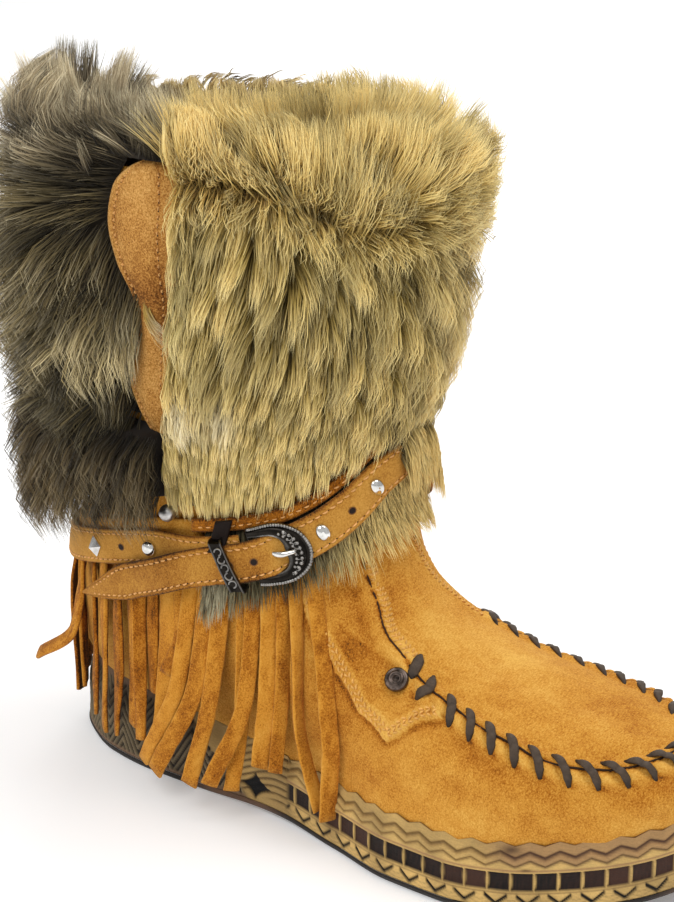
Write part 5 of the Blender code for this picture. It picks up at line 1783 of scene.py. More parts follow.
def make_facing():
    share = np.linspace(0.0, 1.0, FACING_ROWS)[:, None]
    across = np.linspace(0.0, 1.0, FACING_COLUMNS)[None]
    z = blend(FACING_LOW, FACING_HIGH, share)
    front, back = edge_turn("front", z) - 4.0, edge_turn("back", z) - 1.2
    round_end = np.sqrt(1.0 - np.abs(2 * share - 1.0) ** 9 * 0.92)
    psi = back - (back - front) * (across * round_end + (1 - round_end) / 2)
    # the leather puffs out between its front and its turned back edge, and sinks at its stitches
    puff = 2.6 * np.sin(math.pi * np.clip(across * 1.15, 0, 1)) ** 0.8 + 1.2 * bell(across - 0.06, 0.07)
    # where it sinks there is a groove of painted shade beside the line of stitches; painted shade also lies
    # across its waist and along its front edge beside the front fur
    tone = 0.45 * bell(across - 0.05, 0.04) - 0.9 * bell(share - 0.52, 0.08) + 0 * psi
    tone = tone - 0.8 * ease((across - 0.85) / 0.12) + 0.3 * bell(share - 0.2, 0.12)
    for at, pitch in FACING_STITCHES:
        puff = puff - 0.45 * bell(across - at, 0.03)
        tone = tone - 0.55 * bell(across - at - 0.03, 0.025)
    grid = wrap(psi, z, 1.9 + puff * np.sin(math.pi * np.clip(share, 0.03, 0.97)) ** 0.3)
    shape = Shape()
    sheet(shape, grid, 1.6, tone=tone)
    shape.make("closure_facing_suede", facing_finish, "suede", ["closure_facing"])
    thread = Shape()
    for at, pitch in FACING_STITCHES:
        line = grid[2:-2, round(at * (FACING_COLUMNS - 1))]
        normals = outward_of(line)
        sew(thread, line + normals * 0.80, normals, pitch, 1.35, 0.40, srgb(222, 166, 98), tilt=0.12)
    thread.make("facing_stitching", thread_finish, "suede")


facing_finish = suede(
    "facing_suede", srgb(234, 188, 116), srgb(198, 142, 70), srgb(140, 86, 34), srgb(66, 36, 14),
    coarse=1.45,
)
make_facing()

SNAP_TURN, SNAP_HEIGHT = 87.5, 113.0
SNAP_RADIUS = 3.0


def make_snap():
    steps = np.linspace(0.0, 0.86 * math.pi, 15)
    profile = [(SNAP_RADIUS * math.sin(a) + 0.01, SNAP_RADIUS * (0.85 + math.cos(a))) for a in steps]
    outward = place(SNAP_TURN, 0.0, 1.0) - place(SNAP_TURN, 0.0, 0.0)
    shape = Shape()
    turned(shape, [*profile, (1.6, -1.2)], wrap(SNAP_TURN, SNAP_HEIGHT, 3.4), outward,
           along=(1.0, 0.0, 0.0))
    shape.make("ball_snap", hammered, "bright_silver", ["snap_ball"])


hammered = metal("hammered_silver", (0.62, 0.60, 0.58), (0.40, 0.38, 0.36), 0.33, 1.0)
make_snap()


# ---------------------------------------------------------------- inside of the boot
def make_lining():
    """The soft lining of the shaft, seen from above, down to the insole."""
    rows = np.concatenate([np.linspace(6.4, 11.0, 12), np.linspace(11.4, 15.95, 22)])
    v, s, points, normals = upper_grid(rows, np.linspace(-1.0, 1.0, 61))
    curls = lining.noise(0.45, 4.0, 0.7, distortion=1.2)
    lining.colour(lining.ramp(curls, (0.3, srgb(150, 118, 78)), (0.7, srgb(214, 186, 142))))
    lining.bump(curls, 0.9, 1.4)
    shape = Shape()
    shape.add(points - normals * (WALL + 0.5), grid_faces(*v.shape))
    shape.make("shaft_lining", lining.material, "insole_felt")
    curls = felt.noise(0.8, 4.0, 0.7)
    felt.colour(felt.ramp(curls, (0.3, srgb(140, 112, 78)), (0.7, srgb(190, 160, 118))))
    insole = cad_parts["insole"].data
    insole.materials.clear()
    insole.materials.append(felt.material)


lining = Finish("lining", roughness=0.95, sheen=0.2, specular=0.1)
felt = Finish("insole_felt", roughness=0.95, specular=0.1)
make_lining()

# ---------------------------------------------------------------- fur
# Height, and how far the fur stands off the upper there.
FRONT_DEPTH = (
    (104, 5.0), (112, 6.5), (119, 7.5), (128, 9.5), (140, 12.5), (150, 16.0), (165, 20.5), (180, 22.5),
    (200, 23.5), (216, 25.0), (232, 26.0), (242, 24.5), (250, 19.0), (257, 10.0), (264, -2.0),
)
BACK_DEPTH = (
    (76, 13.0), (95, 22.0), (120, 27.0), (143, 28.0), (146, 25.0), (160, 29.0), (190, 31.0),
    (226, 31.0), (240, 29.0), (250, 23.0), (258, 13.0), (264, 3.0),
)
# Depth of the fur that rises from the parting at the front.
RISING_DEPTH = ((200, 23.0), (216, 24.5), (232, 25.5), (244, 24.5), (254, 22.0), (264, 18.0))
# Height and turn of the front fur's edge beside the closure.
FRONT_FUR_EDGE = (
    (104, 86.0), (126, 86.5), (139, 84.0), (150, 80.5), (163, 77.0), (185, 74.0), (200, 72.0),
    (230, 70.5), (270, 70.0),
)
INNER_SEAM = -105.0
BACK_LAST = 360.0 + INNER_SEAM
FOLD_HEIGHT = 144.0
# Mean length in mm of a degree round the shaft, and the points of a strand.
PER_DEGREE = 1.45
STEPS = 4
# Where the strands are dark to, and where their light tips start, as shares of their length.
ROOT_END, TIP_START = 0.594, 0.4125
# Strands are finer and closer between these turns, which face the closure, than on the far side.
FINE_FROM, FINE_TO = -35.0, 175.0
FINE, COARSE, COARSE_SHORT = 0.30, 0.52, 0.42
KEPT_FAR = 0.42
# The rim that the collar's fur stands on: how far its ellipse reaches out, in and up, its middle's
# height, and the highest that hair may reach, each on the near and on the far side.
RIM_OUT, RIM_IN, RIM_UP = 12.5, 12.0, 10.0
RIM_HIGH, RIM_LOW = 230.0, 227.5
COLLAR_TOP, FAR_TOP = 264.6, 243.0
# Place on the rim and way of its fur in degrees, both from outside over the top to inside.
COMBED = ((-25, 48.0), (30, 70.0), (60, 84.0), (90, 94.0), (130, 104.0), (170, 118.0), (205, 140.0))
RIM_PER_DEGREE = 0.24
BAND_FIRST, BAND_LAST = -73.0, 72.0


def steady(value):
    """A function that gives one value everywhere."""
    return lambda place, *others: value + 0.0 * place


def read_from(table):
    return lambda z: curve(table, z)


def near(psi, z, at_psi, at_z, wide, high):
    """1 at a spot on the shaft, falling off over so many mm round it and up it."""
    return bell((psi - at_psi) * PER_DEGREE, wide) * bell(z - at_z, high)


def ribbons(shape, paths, outward, width, tints, roll=0.65):
    """Tapered ribbons: one for each path, with its tip as one point."""
    count, steps = paths.shape[:2]
    ways = np.gradient(paths, axis=1)
    outs = outward[:, None, :] + rng.normal(0.0, 0.25, (count, 1, 3))
    sides = unit(np.cross(ways, outs))
    ups = unit(np.cross(sides, ways))
    turn = rng.normal(0.0, roll, (count, 1, 1))
    sides = sides * np.cos(turn) + ups * np.sin(turn)
    share = np.linspace(0.0, 1.0, steps)
    profile = (0.75 + 0.25 * ease(share / 0.3)) * (1 - 0.72 * ease((share - 0.35) / 0.65))
    half = width[:, None, None] / 2 * profile[None, :, None]
    both = np.stack([paths - sides * half, paths + sides * half], axis=2)
    points = np.concatenate([both[:, :-1].reshape(count, -1, 3), paths[:, -1:]], axis=1)
    colour = np.concatenate([np.repeat(tints[:, :-1], 2, axis=1), tints[:, -1:]], axis=1)
    size = points.shape[1]
    first = np.arange(count)[:, None, None] * size
    k = np.arange(steps - 2)[None, :, None] * 2
    quads = (first + k + np.array([0, 1, 3, 2])).reshape(-1, 4)
    tips = (first[:, 0] + np.arange(size - 3, size)).reshape(-1, 3)
    shape.add(points, [quads, tips], tint=colour)


def scatter(count, low, high, keep):
    """Random (turn, height) spots within a box that keep(psi, z) accepts."""
    found = np.zeros((0, 2))
    while len(found) < count:
        spots = rng.uniform(low, high, (count, 2))
        found = np.concatenate([found, spots[keep(spots[:, 0], spots[:, 1])]])
    return found[:count].T


def thinned(near_side):
    """Keeps every strand of the near side and some of the far side."""
    return near_side | (rng.random(len(near_side)) < KEPT_FAR)


def locks_of(psi, z, spacing):
    """The lock that each spot belongs to: its number and the way to its middle, in mm."""
    a = psi * PER_DEGREE
    row, column = np.floor(z / spacing).astype(int), np.floor(a / spacing).astype(int)
    best = np.full(len(psi), np.inf)
    number, to_a, to_z = np.zeros(len(psi), int), np.zeros(len(psi)), np.zeros(len(psi))
    for i, k in product((-1, 0, 1), repeat=2):
        r, c = row + i, column + k
        key = (r * 7919 + c * 104729) % 65521
        da = (c + ((key * 37) % 101) / 101.0) * spacing - a
        dz = (r + ((key * 59) % 103) / 103.0) * spacing - z
        closer = da**2 + dz**2 < best
        best = np.where(closer, da**2 + dz**2, best)
        number = np.where(closer, key, number)
        to_a, to_z = np.where(closer, da, to_a), np.where(closer, dz, to_z)
    return number, to_a, to_z


def chance(number, seed):
    """A fixed number from 0 to 1 for each lock."""
    return ((number * 2654435761 + seed * 40503) % 1000003) / 1000003.0


def hang(shape, spots, flow, length, depth, root, look, lock_size, gather, width, rise, spread,
         stand=0.0, limit=None, edge=None, bend=0.58, swell=None):
    """Fur that lies along the surface at (turn, height) spots. The strands of one lock share their
    way, their length and their height, so that locks lie like shingles.

    flow(psi, z) is the way of root and tip in degrees, 0 towards the back and 90 up; length(psi, z)
    and depth(z) are in mm; root is the share of the depth at which a strand starts, and rise the
    shares that its bow reaches; gather draws tips to their lock round and up the leg; spread is how
    far ways differ, in degrees; stand lifts the tips. No strand passes limit(z), and beside edge(z)
    the fur is low; swell(psi, z) makes it deeper."""
    psi, z = spots
    count = len(psi)
    number, to_a, to_z = locks_of(psi, z, lock_size)
    share = np.linspace(0.0, 1.0, STEPS)
    start, end = flow(psi + to_a / PER_DEGREE * 0.8, z + to_z * 0.8)
    swing = (chance(number, 1) - 0.5) * 2.4 * spread + rng.normal(0.0, spread * 0.55, count)
    angle = np.radians(start[:, None] + (end - start)[:, None] * share + swing[:, None])
    own = length(psi, z) * (0.74 + 0.46 * chance(number, 2)) * rng.uniform(0.74, 1.16, count)
    step = own[:, None] / (STEPS - 1)
    along, fall = (
        np.concatenate([np.zeros((count, 1)), np.cumsum(step * part[:, :-1], axis=1)], axis=1)
        + to_lock[:, None] * share**1.3 * pull
        for part, to_lock, pull in zip((np.cos(angle), np.sin(angle)), (to_a, to_z), gather)
    )
    wave = rng.normal(0.0, 0.16, (count, 1)) * np.sin(share * rng.uniform(3.0, 6.0, (count, 1)))
    turn, height = psi[:, None] + (along + wave) / PER_DEGREE, z[:, None] + fall
    ceiling = blend(238.0, 256.0, collar_height_share(psi))[:, None]
    height = np.where(height > ceiling, ceiling + (height - ceiling) * 0.45, height)
    height = np.minimum(height, COLLAR_TOP)
    if limit is not None:
        bound = limit(height) + rng.normal(0.0, 0.35, (count, 1))
        turn = np.where(turn > bound, bound + (turn - bound) * 0.12, turn)
    layer = blend(*rise, 0.50 * chance(number, 3) + 0.50 * rng.random(count))
    full = depth(height)
    if swell is not None:
        full = full * swell(turn, height)
    if edge is not None:
        away = ease((psi - edge(z)) / 13.0)[:, None]
        full = full * (0.22 + 0.78 * blend(away, 1.0, 0.35 * share))
        root = root * (0.15 + 0.85 * away)
    base = root * full
    arc = np.sin(math.pi * (0.10 + bend * share))
    out = base + (full * layer[:, None] - base) * arc + stand * share**1.5
    out = np.where(height < 244.0, np.maximum(out, 1.6), out)
    outward = unit(place(psi, z, 1.0) - place(psi, z, 0.0))
    wide = width * rng.uniform(0.65, 1.35, count)
    ribbons(shape, wrap(turn, height, out), outward, wide, look(psi, z, number, layer, share))


def cover(shape, first, last, low, high, depth, share, tint, ramp=3.0):
    """The dark ground that the fur grows from, in the colour of its roots and painted dark as the shade
    deep in the fur, as a sheet turned in at its edges.
    """
    up, across = np.linspace(0.0, 1.0, 26)[:, None], np.linspace(0.0, 1.0, 64)
    middle = blend(first(150.0), last, across)
    z = blend(low(middle), high(middle), up)
    psi = blend(first(z), last, across)
    rows_in, columns_in = np.minimum(up, 1 - up) * 25 / 3.0, np.minimum(across, 1 - across) * 63 / ramp
    out = 0.8 + (depth(z) * share - 0.8) * ease(np.minimum(rows_in, columns_in))
    shape.add(wrap(psi, z, np.maximum(out, 0.8)), grid_faces(*z.shape), tint=tint)


def strand_tone(number, layer, base, by_layer, by_lock, by_strand):
    """How light each strand is: lighter the further out it lies, as painted shade on the strands deep in
    the fur, with chance of lock and strand.
    """
    own = rng.normal(0.0, by_strand, len(number))
    return base + by_layer * layer + by_lock * (chance(number, 5) - 0.5) + own


def mottle(psi, z, stretch, scale, seed):
    return waves(join(psi * PER_DEGREE, z * stretch, 0.0), scale, seed)


def hollows(psi, z, spots):
    """Painted shade in soft hollows between locks: turn, height, width, height and strength of each."""
    return np.prod([1 - deep * near(psi, z, *spot) for *spot, deep in spots], axis=0)


def shade_strands(share, root, middle, tip, tone):
    """Colours along strands: dark at the root, then the fur's own colour, then its tip."""
    root, middle, tip = (colour[..., None, :] for colour in (root, middle, tip))
    t = share[:, None]
    lower = blend(root, middle, ease(t / ROOT_END))
    return blend(lower, tip, ease((t - TIP_START) / (1.0 - TIP_START))) * tone[:, None, None]


fur_finish = tinted("fur", 0.85, specular=0.18, sheen=0.15)

GOLD_ROOT, GOLD_MIDDLE, GOLD_TIP = srgb(84, 68, 28), srgb(202, 174, 94), srgb(246, 226, 158)
OLIVE, STRAW, PALE, PAINTED_LIGHT_ROOT = (
    srgb(158, 144, 88), srgb(214, 178, 92), srgb(244, 235, 204), srgb(158, 132, 72),
)
# spots of painted shade in the gold fur's hollows
GOLD_HOLLOW_SHADES = (
    (38.0, 199.0, 9.0, 6.0, 0.60), (46.0, 189.0, 4.0, 8.0, 0.50), (20.0, 208.0, 7.0, 5.0, 0.35),
    (31.0, 209.0, 6.0, 4.0, 0.35), (8.0, 203.0, 5.0, 9.0, 0.45), (54.0, 176.0, 6.0, 7.0, 0.25),
    (27.0, 190.0, 3.5, 9.0, 0.55), (14.0, 188.0, 4.0, 8.0, 0.45), (62.0, 206.0, 4.0, 9.0, 0.25),
    (34.0, 168.0, 4.0, 8.0, 0.40), (-6.0, 190.0, 5.0, 10.0, 0.25), (52.0, 206.0, 4.0, 6.0, 0.40),
    (21.0, 172.0, 3.5, 8.0, 0.40), (58.0, 190.0, 3.5, 7.0, 0.35), (42.0, 176.0, 3.0, 7.0, 0.40),
    (48.0, 162.0, 3.0, 6.0, 0.30), (28.0, 154.0, 3.0, 7.0, 0.30), (14.0, 160.0, 3.5, 8.0, 0.30),
)


def front_low(psi):
    return np.maximum(strap_height(psi) + 9.5 - 3.0 * bell(psi - 12.0, 14.0), 110.0)


def front_parting(psi):
    """Height of the parting between hanging fur and the fur that stands at the collar."""
    return 219.0 + 15.0 * ease((psi - 28.0) / 22.0) - 7.0 * ease((10.0 - psi) / 60.0)


def front_limit(z):
    return curve(FRONT_FUR_EDGE, z)


def gold_look(psi, z, number, layer, share):
    tone = strand_tone(number, layer, 0.51, 0.60, 0.68, 0.09)
    tone = tone * (1.0 + 0.30 * ease((158.0 - z) / 25.0) - 0.02 * ease((z - 224.0) / 14.0))
    tone = tone * (1.0 + 0.14 * mottle(psi, z, 0.55, 16.0, 81)) * hollows(psi, z, GOLD_HOLLOW_SHADES)
    # pale patches beside the closure
    pale = near(psi, z, 73.0, 158.0, 8.0, 7.5) + 0.8 * near(psi, z, 60.0, 158.0, 6.0, 7.5)
    pale = np.minimum(pale, bell(z - 158.0, 7.5))
    tone = blend(tone, 1.25, 0.75 * pale)
    pale = np.maximum(pale, 0.22 * ease((14.0 - psi) / 30.0) * ease((224.0 - z) / 10.0))
    # olive high on the side, straw at the collar, but for its heart at the front
    heart = near(psi, z, 30.0, 232.0, 24.0, 14.0)
    olive = 0.5 * ease((psi - 58.0) / 12.0) * ease((z - 176.0) / 20.0) * ease((240.0 - z) / 12.0)
    olive = (olive + 0.30 * chance(number, 6)) * (1 - 0.8 * heart)
    straw = 0.55 * ease((z - 222.0) / 14.0) * (1 - 0.8 * heart) + 0.20 * chance(number, 7)
    middle = mix_colours(mix_colours(GOLD_MIDDLE, OLIVE, olive), STRAW, straw)
    middle = mix_colours(middle, PALE, 0.75 * pale)
    tip = mix_colours(GOLD_TIP, PALE, 0.15 * (1 - heart) + 0.80 * pale)
    # near the parting the roots are painted lighter, as painted light that lifts the shade of the parting's
    # crease
    root = mix_colours(GOLD_ROOT, PAINTED_LIGHT_ROOT, bell(z - front_parting(psi), 9.0))
    root = mix_colours(root, PALE * 0.7, 0.7 * pale)
    return shade_strands(share, root, middle, tip, np.clip(tone * (1 - 0.10 * heart), 0.30, 1.30))


def hanging_flow(psi, z):
    start = -90.0 + 22.0 * bell(psi - 52.0, 18.0) - 26.0 * ease((26.0 - psi) / 60.0)
    start = start + 6.0 * ease((170.0 - z) / 40.0) * np.sign(26.0 - psi)
    under = ease((z - front_parting(psi) + 24.0) / 18.0)
    start = start + under * (-44.0 * bell(psi - 36.0, 12.0) - 38.0 * ease((24.0 - psi) / 30.0))
    return start, start * 0.4 - 90.0 * 0.6


# The hanging fur's two bands: strands, low and high end, lock size, gather and rise.
GOLD_BANDS = {
    "gold_front_fur_upper": (25000, 163.0, 240.0, 6.6, (0.72, 0.62), (0.34, 1.12)),
    "gold_front_fur_lower": (21500, 104.0, 163.0, 4.2, (0.55, 0.45), (0.50, 1.04)),
}


def make_front_fur():
    depth = read_from(FRONT_DEPTH)
    ground = Shape()
    cover(ground, lambda z: front_limit(z) + 1.0, INNER_SEAM + 1.0, lambda p: front_low(p) + 5.0,
          lambda p: front_parting(p) + 4.0, depth, 0.38, srgb(74, 56, 26))

    def keep(psi, z):
        below = z < front_parting(psi) + rng.normal(1.0, 2.5, len(z))
        return (psi < front_limit(z) + 1.5) & below & (z > front_low(psi) + 12.5) & thinned(psi > FINE_FROM)

    def length(psi, z):
        return 12.0 + 8.0 * ease((z - 140.0) / 50.0)

    for (name, (count, low, high, size, gather, rise)), shape, replaced in zip(
        GOLD_BANDS.items(), (ground, Shape()), (["front_fur"], [])
    ):
        spots = scatter(count, (INNER_SEAM, low), (90.0, high), keep)
        width = np.where(spots[0] > FINE_FROM, FINE, COARSE)
        hang(shape, spots, hanging_flow, length, depth, 0.32, gold_look, size, gather, width, rise,
             7.0, limit=front_limit)
        shape.make(name, fur_finish, "gold_fur", replaced)


GREY_ROOT, GREY_MIDDLE, GREY_TIP = srgb(40, 34, 23), srgb(142, 125, 84), srgb(224, 210, 172)
TAUPE, YELLOWISH, YELLOW_TIP = srgb(168, 152, 128), srgb(206, 186, 130), srgb(240, 222, 170)
BROWN_FUR, BROWN_TIP = srgb(90, 73, 46), srgb(134, 114, 80)
# spots of painted shade in the grey fur's hollows
GREY_HOLLOW_SHADES = (
    (104.0, 229.0, 10.0, 5.0, 0.6), (117.0, 228.0, 12.0, 4.0, 0.4), (114.0, 159.0, 7.5, 15.0, 0.80),
    (111.0, 188.0, 4.0, 9.0, 0.5), (96.0, 157.0, 10.0, 6.0, 0.45), (104.0, 147.0, 22.0, 6.0, 0.75),
    (122.0, 212.0, 6.0, 7.0, 0.35), (132.0, 190.0, 6.0, 8.0, 0.35), (126.0, 238.0, 7.0, 5.0, 0.35),
    (96.0, 238.0, 5.0, 6.0, 0.25), (102.0, 200.0, 5.0, 8.0, 0.3), (134.0, 150.0, 10.0, 6.0, 0.5),
)


def grey_look(psi, z, number, layer, share):
    tone = strand_tone(number, layer, 0.28, 0.57, 0.78, 0.10)
    tone = tone * (1.0 + 0.20 * mottle(psi, z, 0.7, 20.0, 91)) * hollows(psi, z, GREY_HOLLOW_SHADES)
    # lighter at the top of the collar; the extra on the far side is painted light against the shade it lies
    # in
    tone = tone * (1.0 + ease((z - 228.0) / 8.0) * (0.26 + 0.30 * ease((psi - 150.0) / 30.0)))
    yellow, streak = near(psi, z, 102.0, 178.0, 9.5, 8.0), near(psi, z, 91.0, 188.0, 3.0, 11.0)
    tone = tone * (1.0 + 0.85 * yellow + 0.5 * streak)
    taupe = ease((z - 222.0) / 14.0) * 0.75 + 0.55 * ease((psi - 128.0) / 16.0)
    brown = 0.85 * ease((FOLD_HEIGHT + 2.0 - z) / 4.0)
    middle = mix_colours(GREY_MIDDLE, TAUPE, 0.6 * taupe)
    middle = mix_colours(middle, YELLOWISH, np.maximum(yellow, 0.6 * streak))
    middle = mix_colours(middle, BROWN_FUR, brown)
    tip = mix_colours(GREY_TIP, PALE, 0.35 * taupe)
    tip = mix_colours(mix_colours(tip, YELLOW_TIP, 0.8 * yellow), BROWN_TIP, 0.85 * brown)
    # on the far side of the rim the fur takes the front's straw and gold colours, and it and its roots are
    # painted lighter against the shade it lies in
    far = 0.75 * ease((psi - 192.0) / 16.0) * ease((z - 234.0) / 4.0)
    middle, tip = mix_colours(middle, STRAW, 0.75 * far), mix_colours(tip, GOLD_TIP, 0.75 * far)
    root = mix_colours(GREY_ROOT, PAINTED_LIGHT_ROOT, 0.8 * far)
    # only some of the strands have a light tip
    plain = (rng.random(len(psi)) < 0.45 * (1 - yellow))[:, None]
    tip = np.where(plain, middle * 1.05, tip)
    return shade_strands(share, root, middle, tip, np.clip(blend(tone, 0.85, 0.7 * far), 0.22, 1.3))


def grey_flow(psi, z):
    """Fans from the top of the closure: up and back above, down and back below."""
    start = blend(-58.0, 4.0, ease((z - 206.0) / 20.0)) + 58.0 * ease((z - 228.0) / 16.0)
    aside = 34.0 * ease((edge_turn("back", z) + 16.0 - psi) / 16.0) + 24.0 * ease((psi - 140.0) / 30.0)
    start = start - aside * (z < 215.0)
    start = blend(start, -90.0, ease((psi - 172.0) / 20.0) * ease((234.0 - z) / 8.0))
    return start, start - 12.0


def calf_swell(psi, z):
    """The fur is thickest over the calf."""
    return 1.0 + 0.21 * bell(psi - 140.0, 20.0) * ease((236.0 - z) / 22.0)


def make_stray_tuft():
    """A light tuft that strays over the waist of the closure's facing."""
    spots = rng.uniform(89.0, 91.4, 60), rng.uniform(187.0, 191.0, 60)

    def look(psi, z, number, layer, share):
        return shade_strands(share, STRAW * 0.7, STRAW, PALE, rng.uniform(0.75, 1.1, len(psi)))

    shape = Shape()
    hang(shape, spots, lambda p, h: (236.0 + 0 * p, 190.0 + 0 * p), steady(17.5), steady(7.0), 0.5,
         look, 40.0, (0.0, 0.0), 0.26, (0.75, 1.1), 3.0)
    shape.make("stray_tuft", fur_finish, "grey_fur")


def make_back_fur():
    depth = read_from(BACK_DEPTH)
    shape = Shape()
    cover(shape, lambda z: edge_turn("back", z) - 1.0, BACK_LAST - 1.0, steady(146.0),
          lambda p: 238.0 - 4.0 * (1 - collar_height_share(p)), depth, 0.40, srgb(40, 34, 24), 7.0)

    def keep(psi, z):
        first = edge_turn("back", z) - 2.0 - 7.0 * bell(z - 190.0, 9.0)
        below = z < 244.0 - 7.0 * (1 - collar_height_share(psi))
        return (psi > first) & (z > 148.0) & thinned(psi < FINE_TO) & below

    def length(psi, z):
        at_far_rim = ease((psi - 158.0) / 22.0) * ease((z - 216.0) / 12.0)
        return (17.0 + 6.0 * ease((z - 165.0) / 30.0)) * (1 - 0.62 * at_far_rim)

    spots = scatter(24000, (92.0, 140.0), (BACK_LAST, 244.0), keep)
    width = np.where(spots[0] < FINE_TO, FINE, COARSE)
    hang(shape, spots, grey_flow, length, depth, 0.32, grey_look, 6.6, (0.60, 0.62), width,
         (0.42, 1.06), 8.0, edge=lambda h: edge_turn("back", h) - 3.0, swell=calf_swell)
    shape.make("grey_back_fur", fur_finish, "grey_fur", ["back_fur"])


def make_hem_fur():
    depth = read_from(BACK_DEPTH)
    shape = Shape()
    cover(shape, steady(85.0), BACK_LAST - 1.0, lambda p: strap_height(p) + HEM_HIGH + 8.0,
          steady(143.5), depth, 0.42, srgb(30, 23, 17))

    def keep(psi, z):
        above = (z > strap_height(psi) + HEM_HIGH + 13.5) & (z < FOLD_HEIGHT)
        return above & thinned(psi < FINE_TO)

    def flow(psi, z):
        start = -90.0 + 22.0 * ease((psi - 108.0) / 30.0) - 22.0 * ease((psi - 160.0) / 30.0)
        return start, start - 4.0

    def length(psi, z):
        return 16.5 + 9.0 * bell(psi - 132.0, 15.0)

    spots = scatter(11800, (84.0, 90.0), (BACK_LAST, FOLD_HEIGHT), keep)
    width = np.where(spots[0] < FINE_TO, FINE, COARSE_SHORT)
    hang(shape, spots, flow, length, depth, 0.34, grey_look, 4.6, (0.45, 0.6), width, (0.55, 1.02),
         7.0, swell=calf_swell)
    shape.make("brown_hem_fur", fur_finish, "grey_fur", ["back_hem_fur"])


def collar_height_share(psi):
    """1 from the front's inner half round to the back of the closure, 0 on the far side."""
    return ease((192.0 - psi) / 26.0) * ease((psi + 48.0) / 50.0)


def collar_rim(psi, theta):
    """Points and the ways of the fur on the rim; theta is 0 outside, 90 on top, 180 inside."""
    angle = np.radians(theta)
    reach_out = np.where(np.cos(angle) > 0, RIM_OUT, RIM_IN) * np.cos(angle)
    top = blend(RIM_LOW, RIM_HIGH, collar_height_share(psi))
    points = place(psi, top + RIM_UP * np.sin(angle), reach(psi, 228.0) - 1.0 + reach_out)
    radial = place(psi, 0.0, 1.0) - place(psi, 0.0, 0.0)
    angle = np.radians(curve(COMBED, theta))[:, None]
    return points, unit(radial * np.cos(angle) + (0.0, 0.0, 1.0) * np.sin(angle))


def stand_up(shape, psi, theta, lean, length, look, lock_size, width, uneven=0.54):
    """Fur that stands on the collar's rim; lean(psi, theta) tips it round the leg, in degrees."""
    count = len(psi)
    number, to_a, to_z = locks_of(psi, theta * RIM_PER_DEGREE + 500.0, lock_size)
    psi2, theta2 = psi + to_a / PER_DEGREE, theta + to_z / RIM_PER_DEGREE
    roots, ways = collar_rim(psi, theta)
    centres, centre_ways = collar_rim(psi2, np.clip(theta2, -25, 205))
    around = unit(place(psi + 1.0, 0.0, 50.0) - place(psi - 1.0, 0.0, 50.0))
    tip_over = lean(psi2, theta2) + (chance(number, 1) - 0.5) * 40.0 + rng.normal(0, 5, count)
    tip_over = np.radians(tip_over)[:, None]
    way = unit(0.35 * ways + 0.65 * centre_ways)
    way = unit(way * np.cos(tip_over) + around * np.sin(tip_over))
    way = unit(way + rng.normal(0.0, 0.06, (count, 3)))
    own = length(psi, theta) * (0.91 + uneven * (chance(number, 2) - 0.5)) * rng.uniform(0.78, 1.08, count)
    top = blend(FAR_TOP, COLLAR_TOP, collar_height_share(psi))
    room = np.maximum(top - roots[:, 2], 4.0) / np.maximum(way[:, 2], 0.3)
    own = np.minimum(own, room * rng.uniform(0.90, 1.0, count))[:, None, None]
    share = np.linspace(0.0, 1.0, STEPS)
    t = share[:, None]
    paths = (
        roots[:, None] + way[:, None] * own * t + (0.0, 0.0, -0.03) * own * t**2
        + 0.7 * (centres - roots)[:, None] * t**1.3
    )
    layer = 0.55 + 0.45 * rng.random(count)
    colours = look(psi, 238.0 + 0 * psi, number, layer, share)
    ribbons(shape, paths, ways, width * rng.uniform(0.65, 1.3, count), colours)


def collar_ground(shape, first, last, tint, start=-25.0):
    turns = np.arange(first, last + 0.1, 4.0)
    grid = np.stack([collar_rim(turns, np.full(len(turns), theta))[0]
                     for theta in np.linspace(start, 215.0, 17)])
    shape.add(grid, grid_faces(*grid.shape[:2]), tint=tint)


def gold_lean(psi, theta):
    """The gold fur fans to both sides of the front's middle."""
    fan = (28.0 * bell(psi - 50.0, 13.0) + 6.0 * ease((psi - 60.0) / 10.0)) * ease((100.0 - theta) / 60.0)
    fan = fan - 72.0 * ease((28.0 - psi) / 30.0) * (1 - ease((-40.0 - psi) / 50.0))
    return fan * (0.55 + 0.45 * np.cos(np.radians(theta)))


def gold_length(psi, theta):
    return (8.0 + 20.0 * collar_height_share(psi)) * (1 - 0.25 * ease((theta - 150.0) / 50.0))


def grey_lean(psi, theta):
    return 36.0 * ease((160.0 - psi) / 40.0) * (0.6 + 0.4 * np.cos(np.radians(theta - 30.0)))


def grey_length(psi, theta):
    side = 7.0 + 16.0 * collar_height_share(psi)
    side = side + 4.0 * bell(psi - 144.0, 12.0) * ease((95.0 - theta) / 50.0)
    side = side - 7.0 * bell(psi - 114.0, 12.0) - 4.0 * bell(psi - 88.0, 8.0)
    return side * (1 - 0.25 * ease((theta - 150.0) / 50.0))


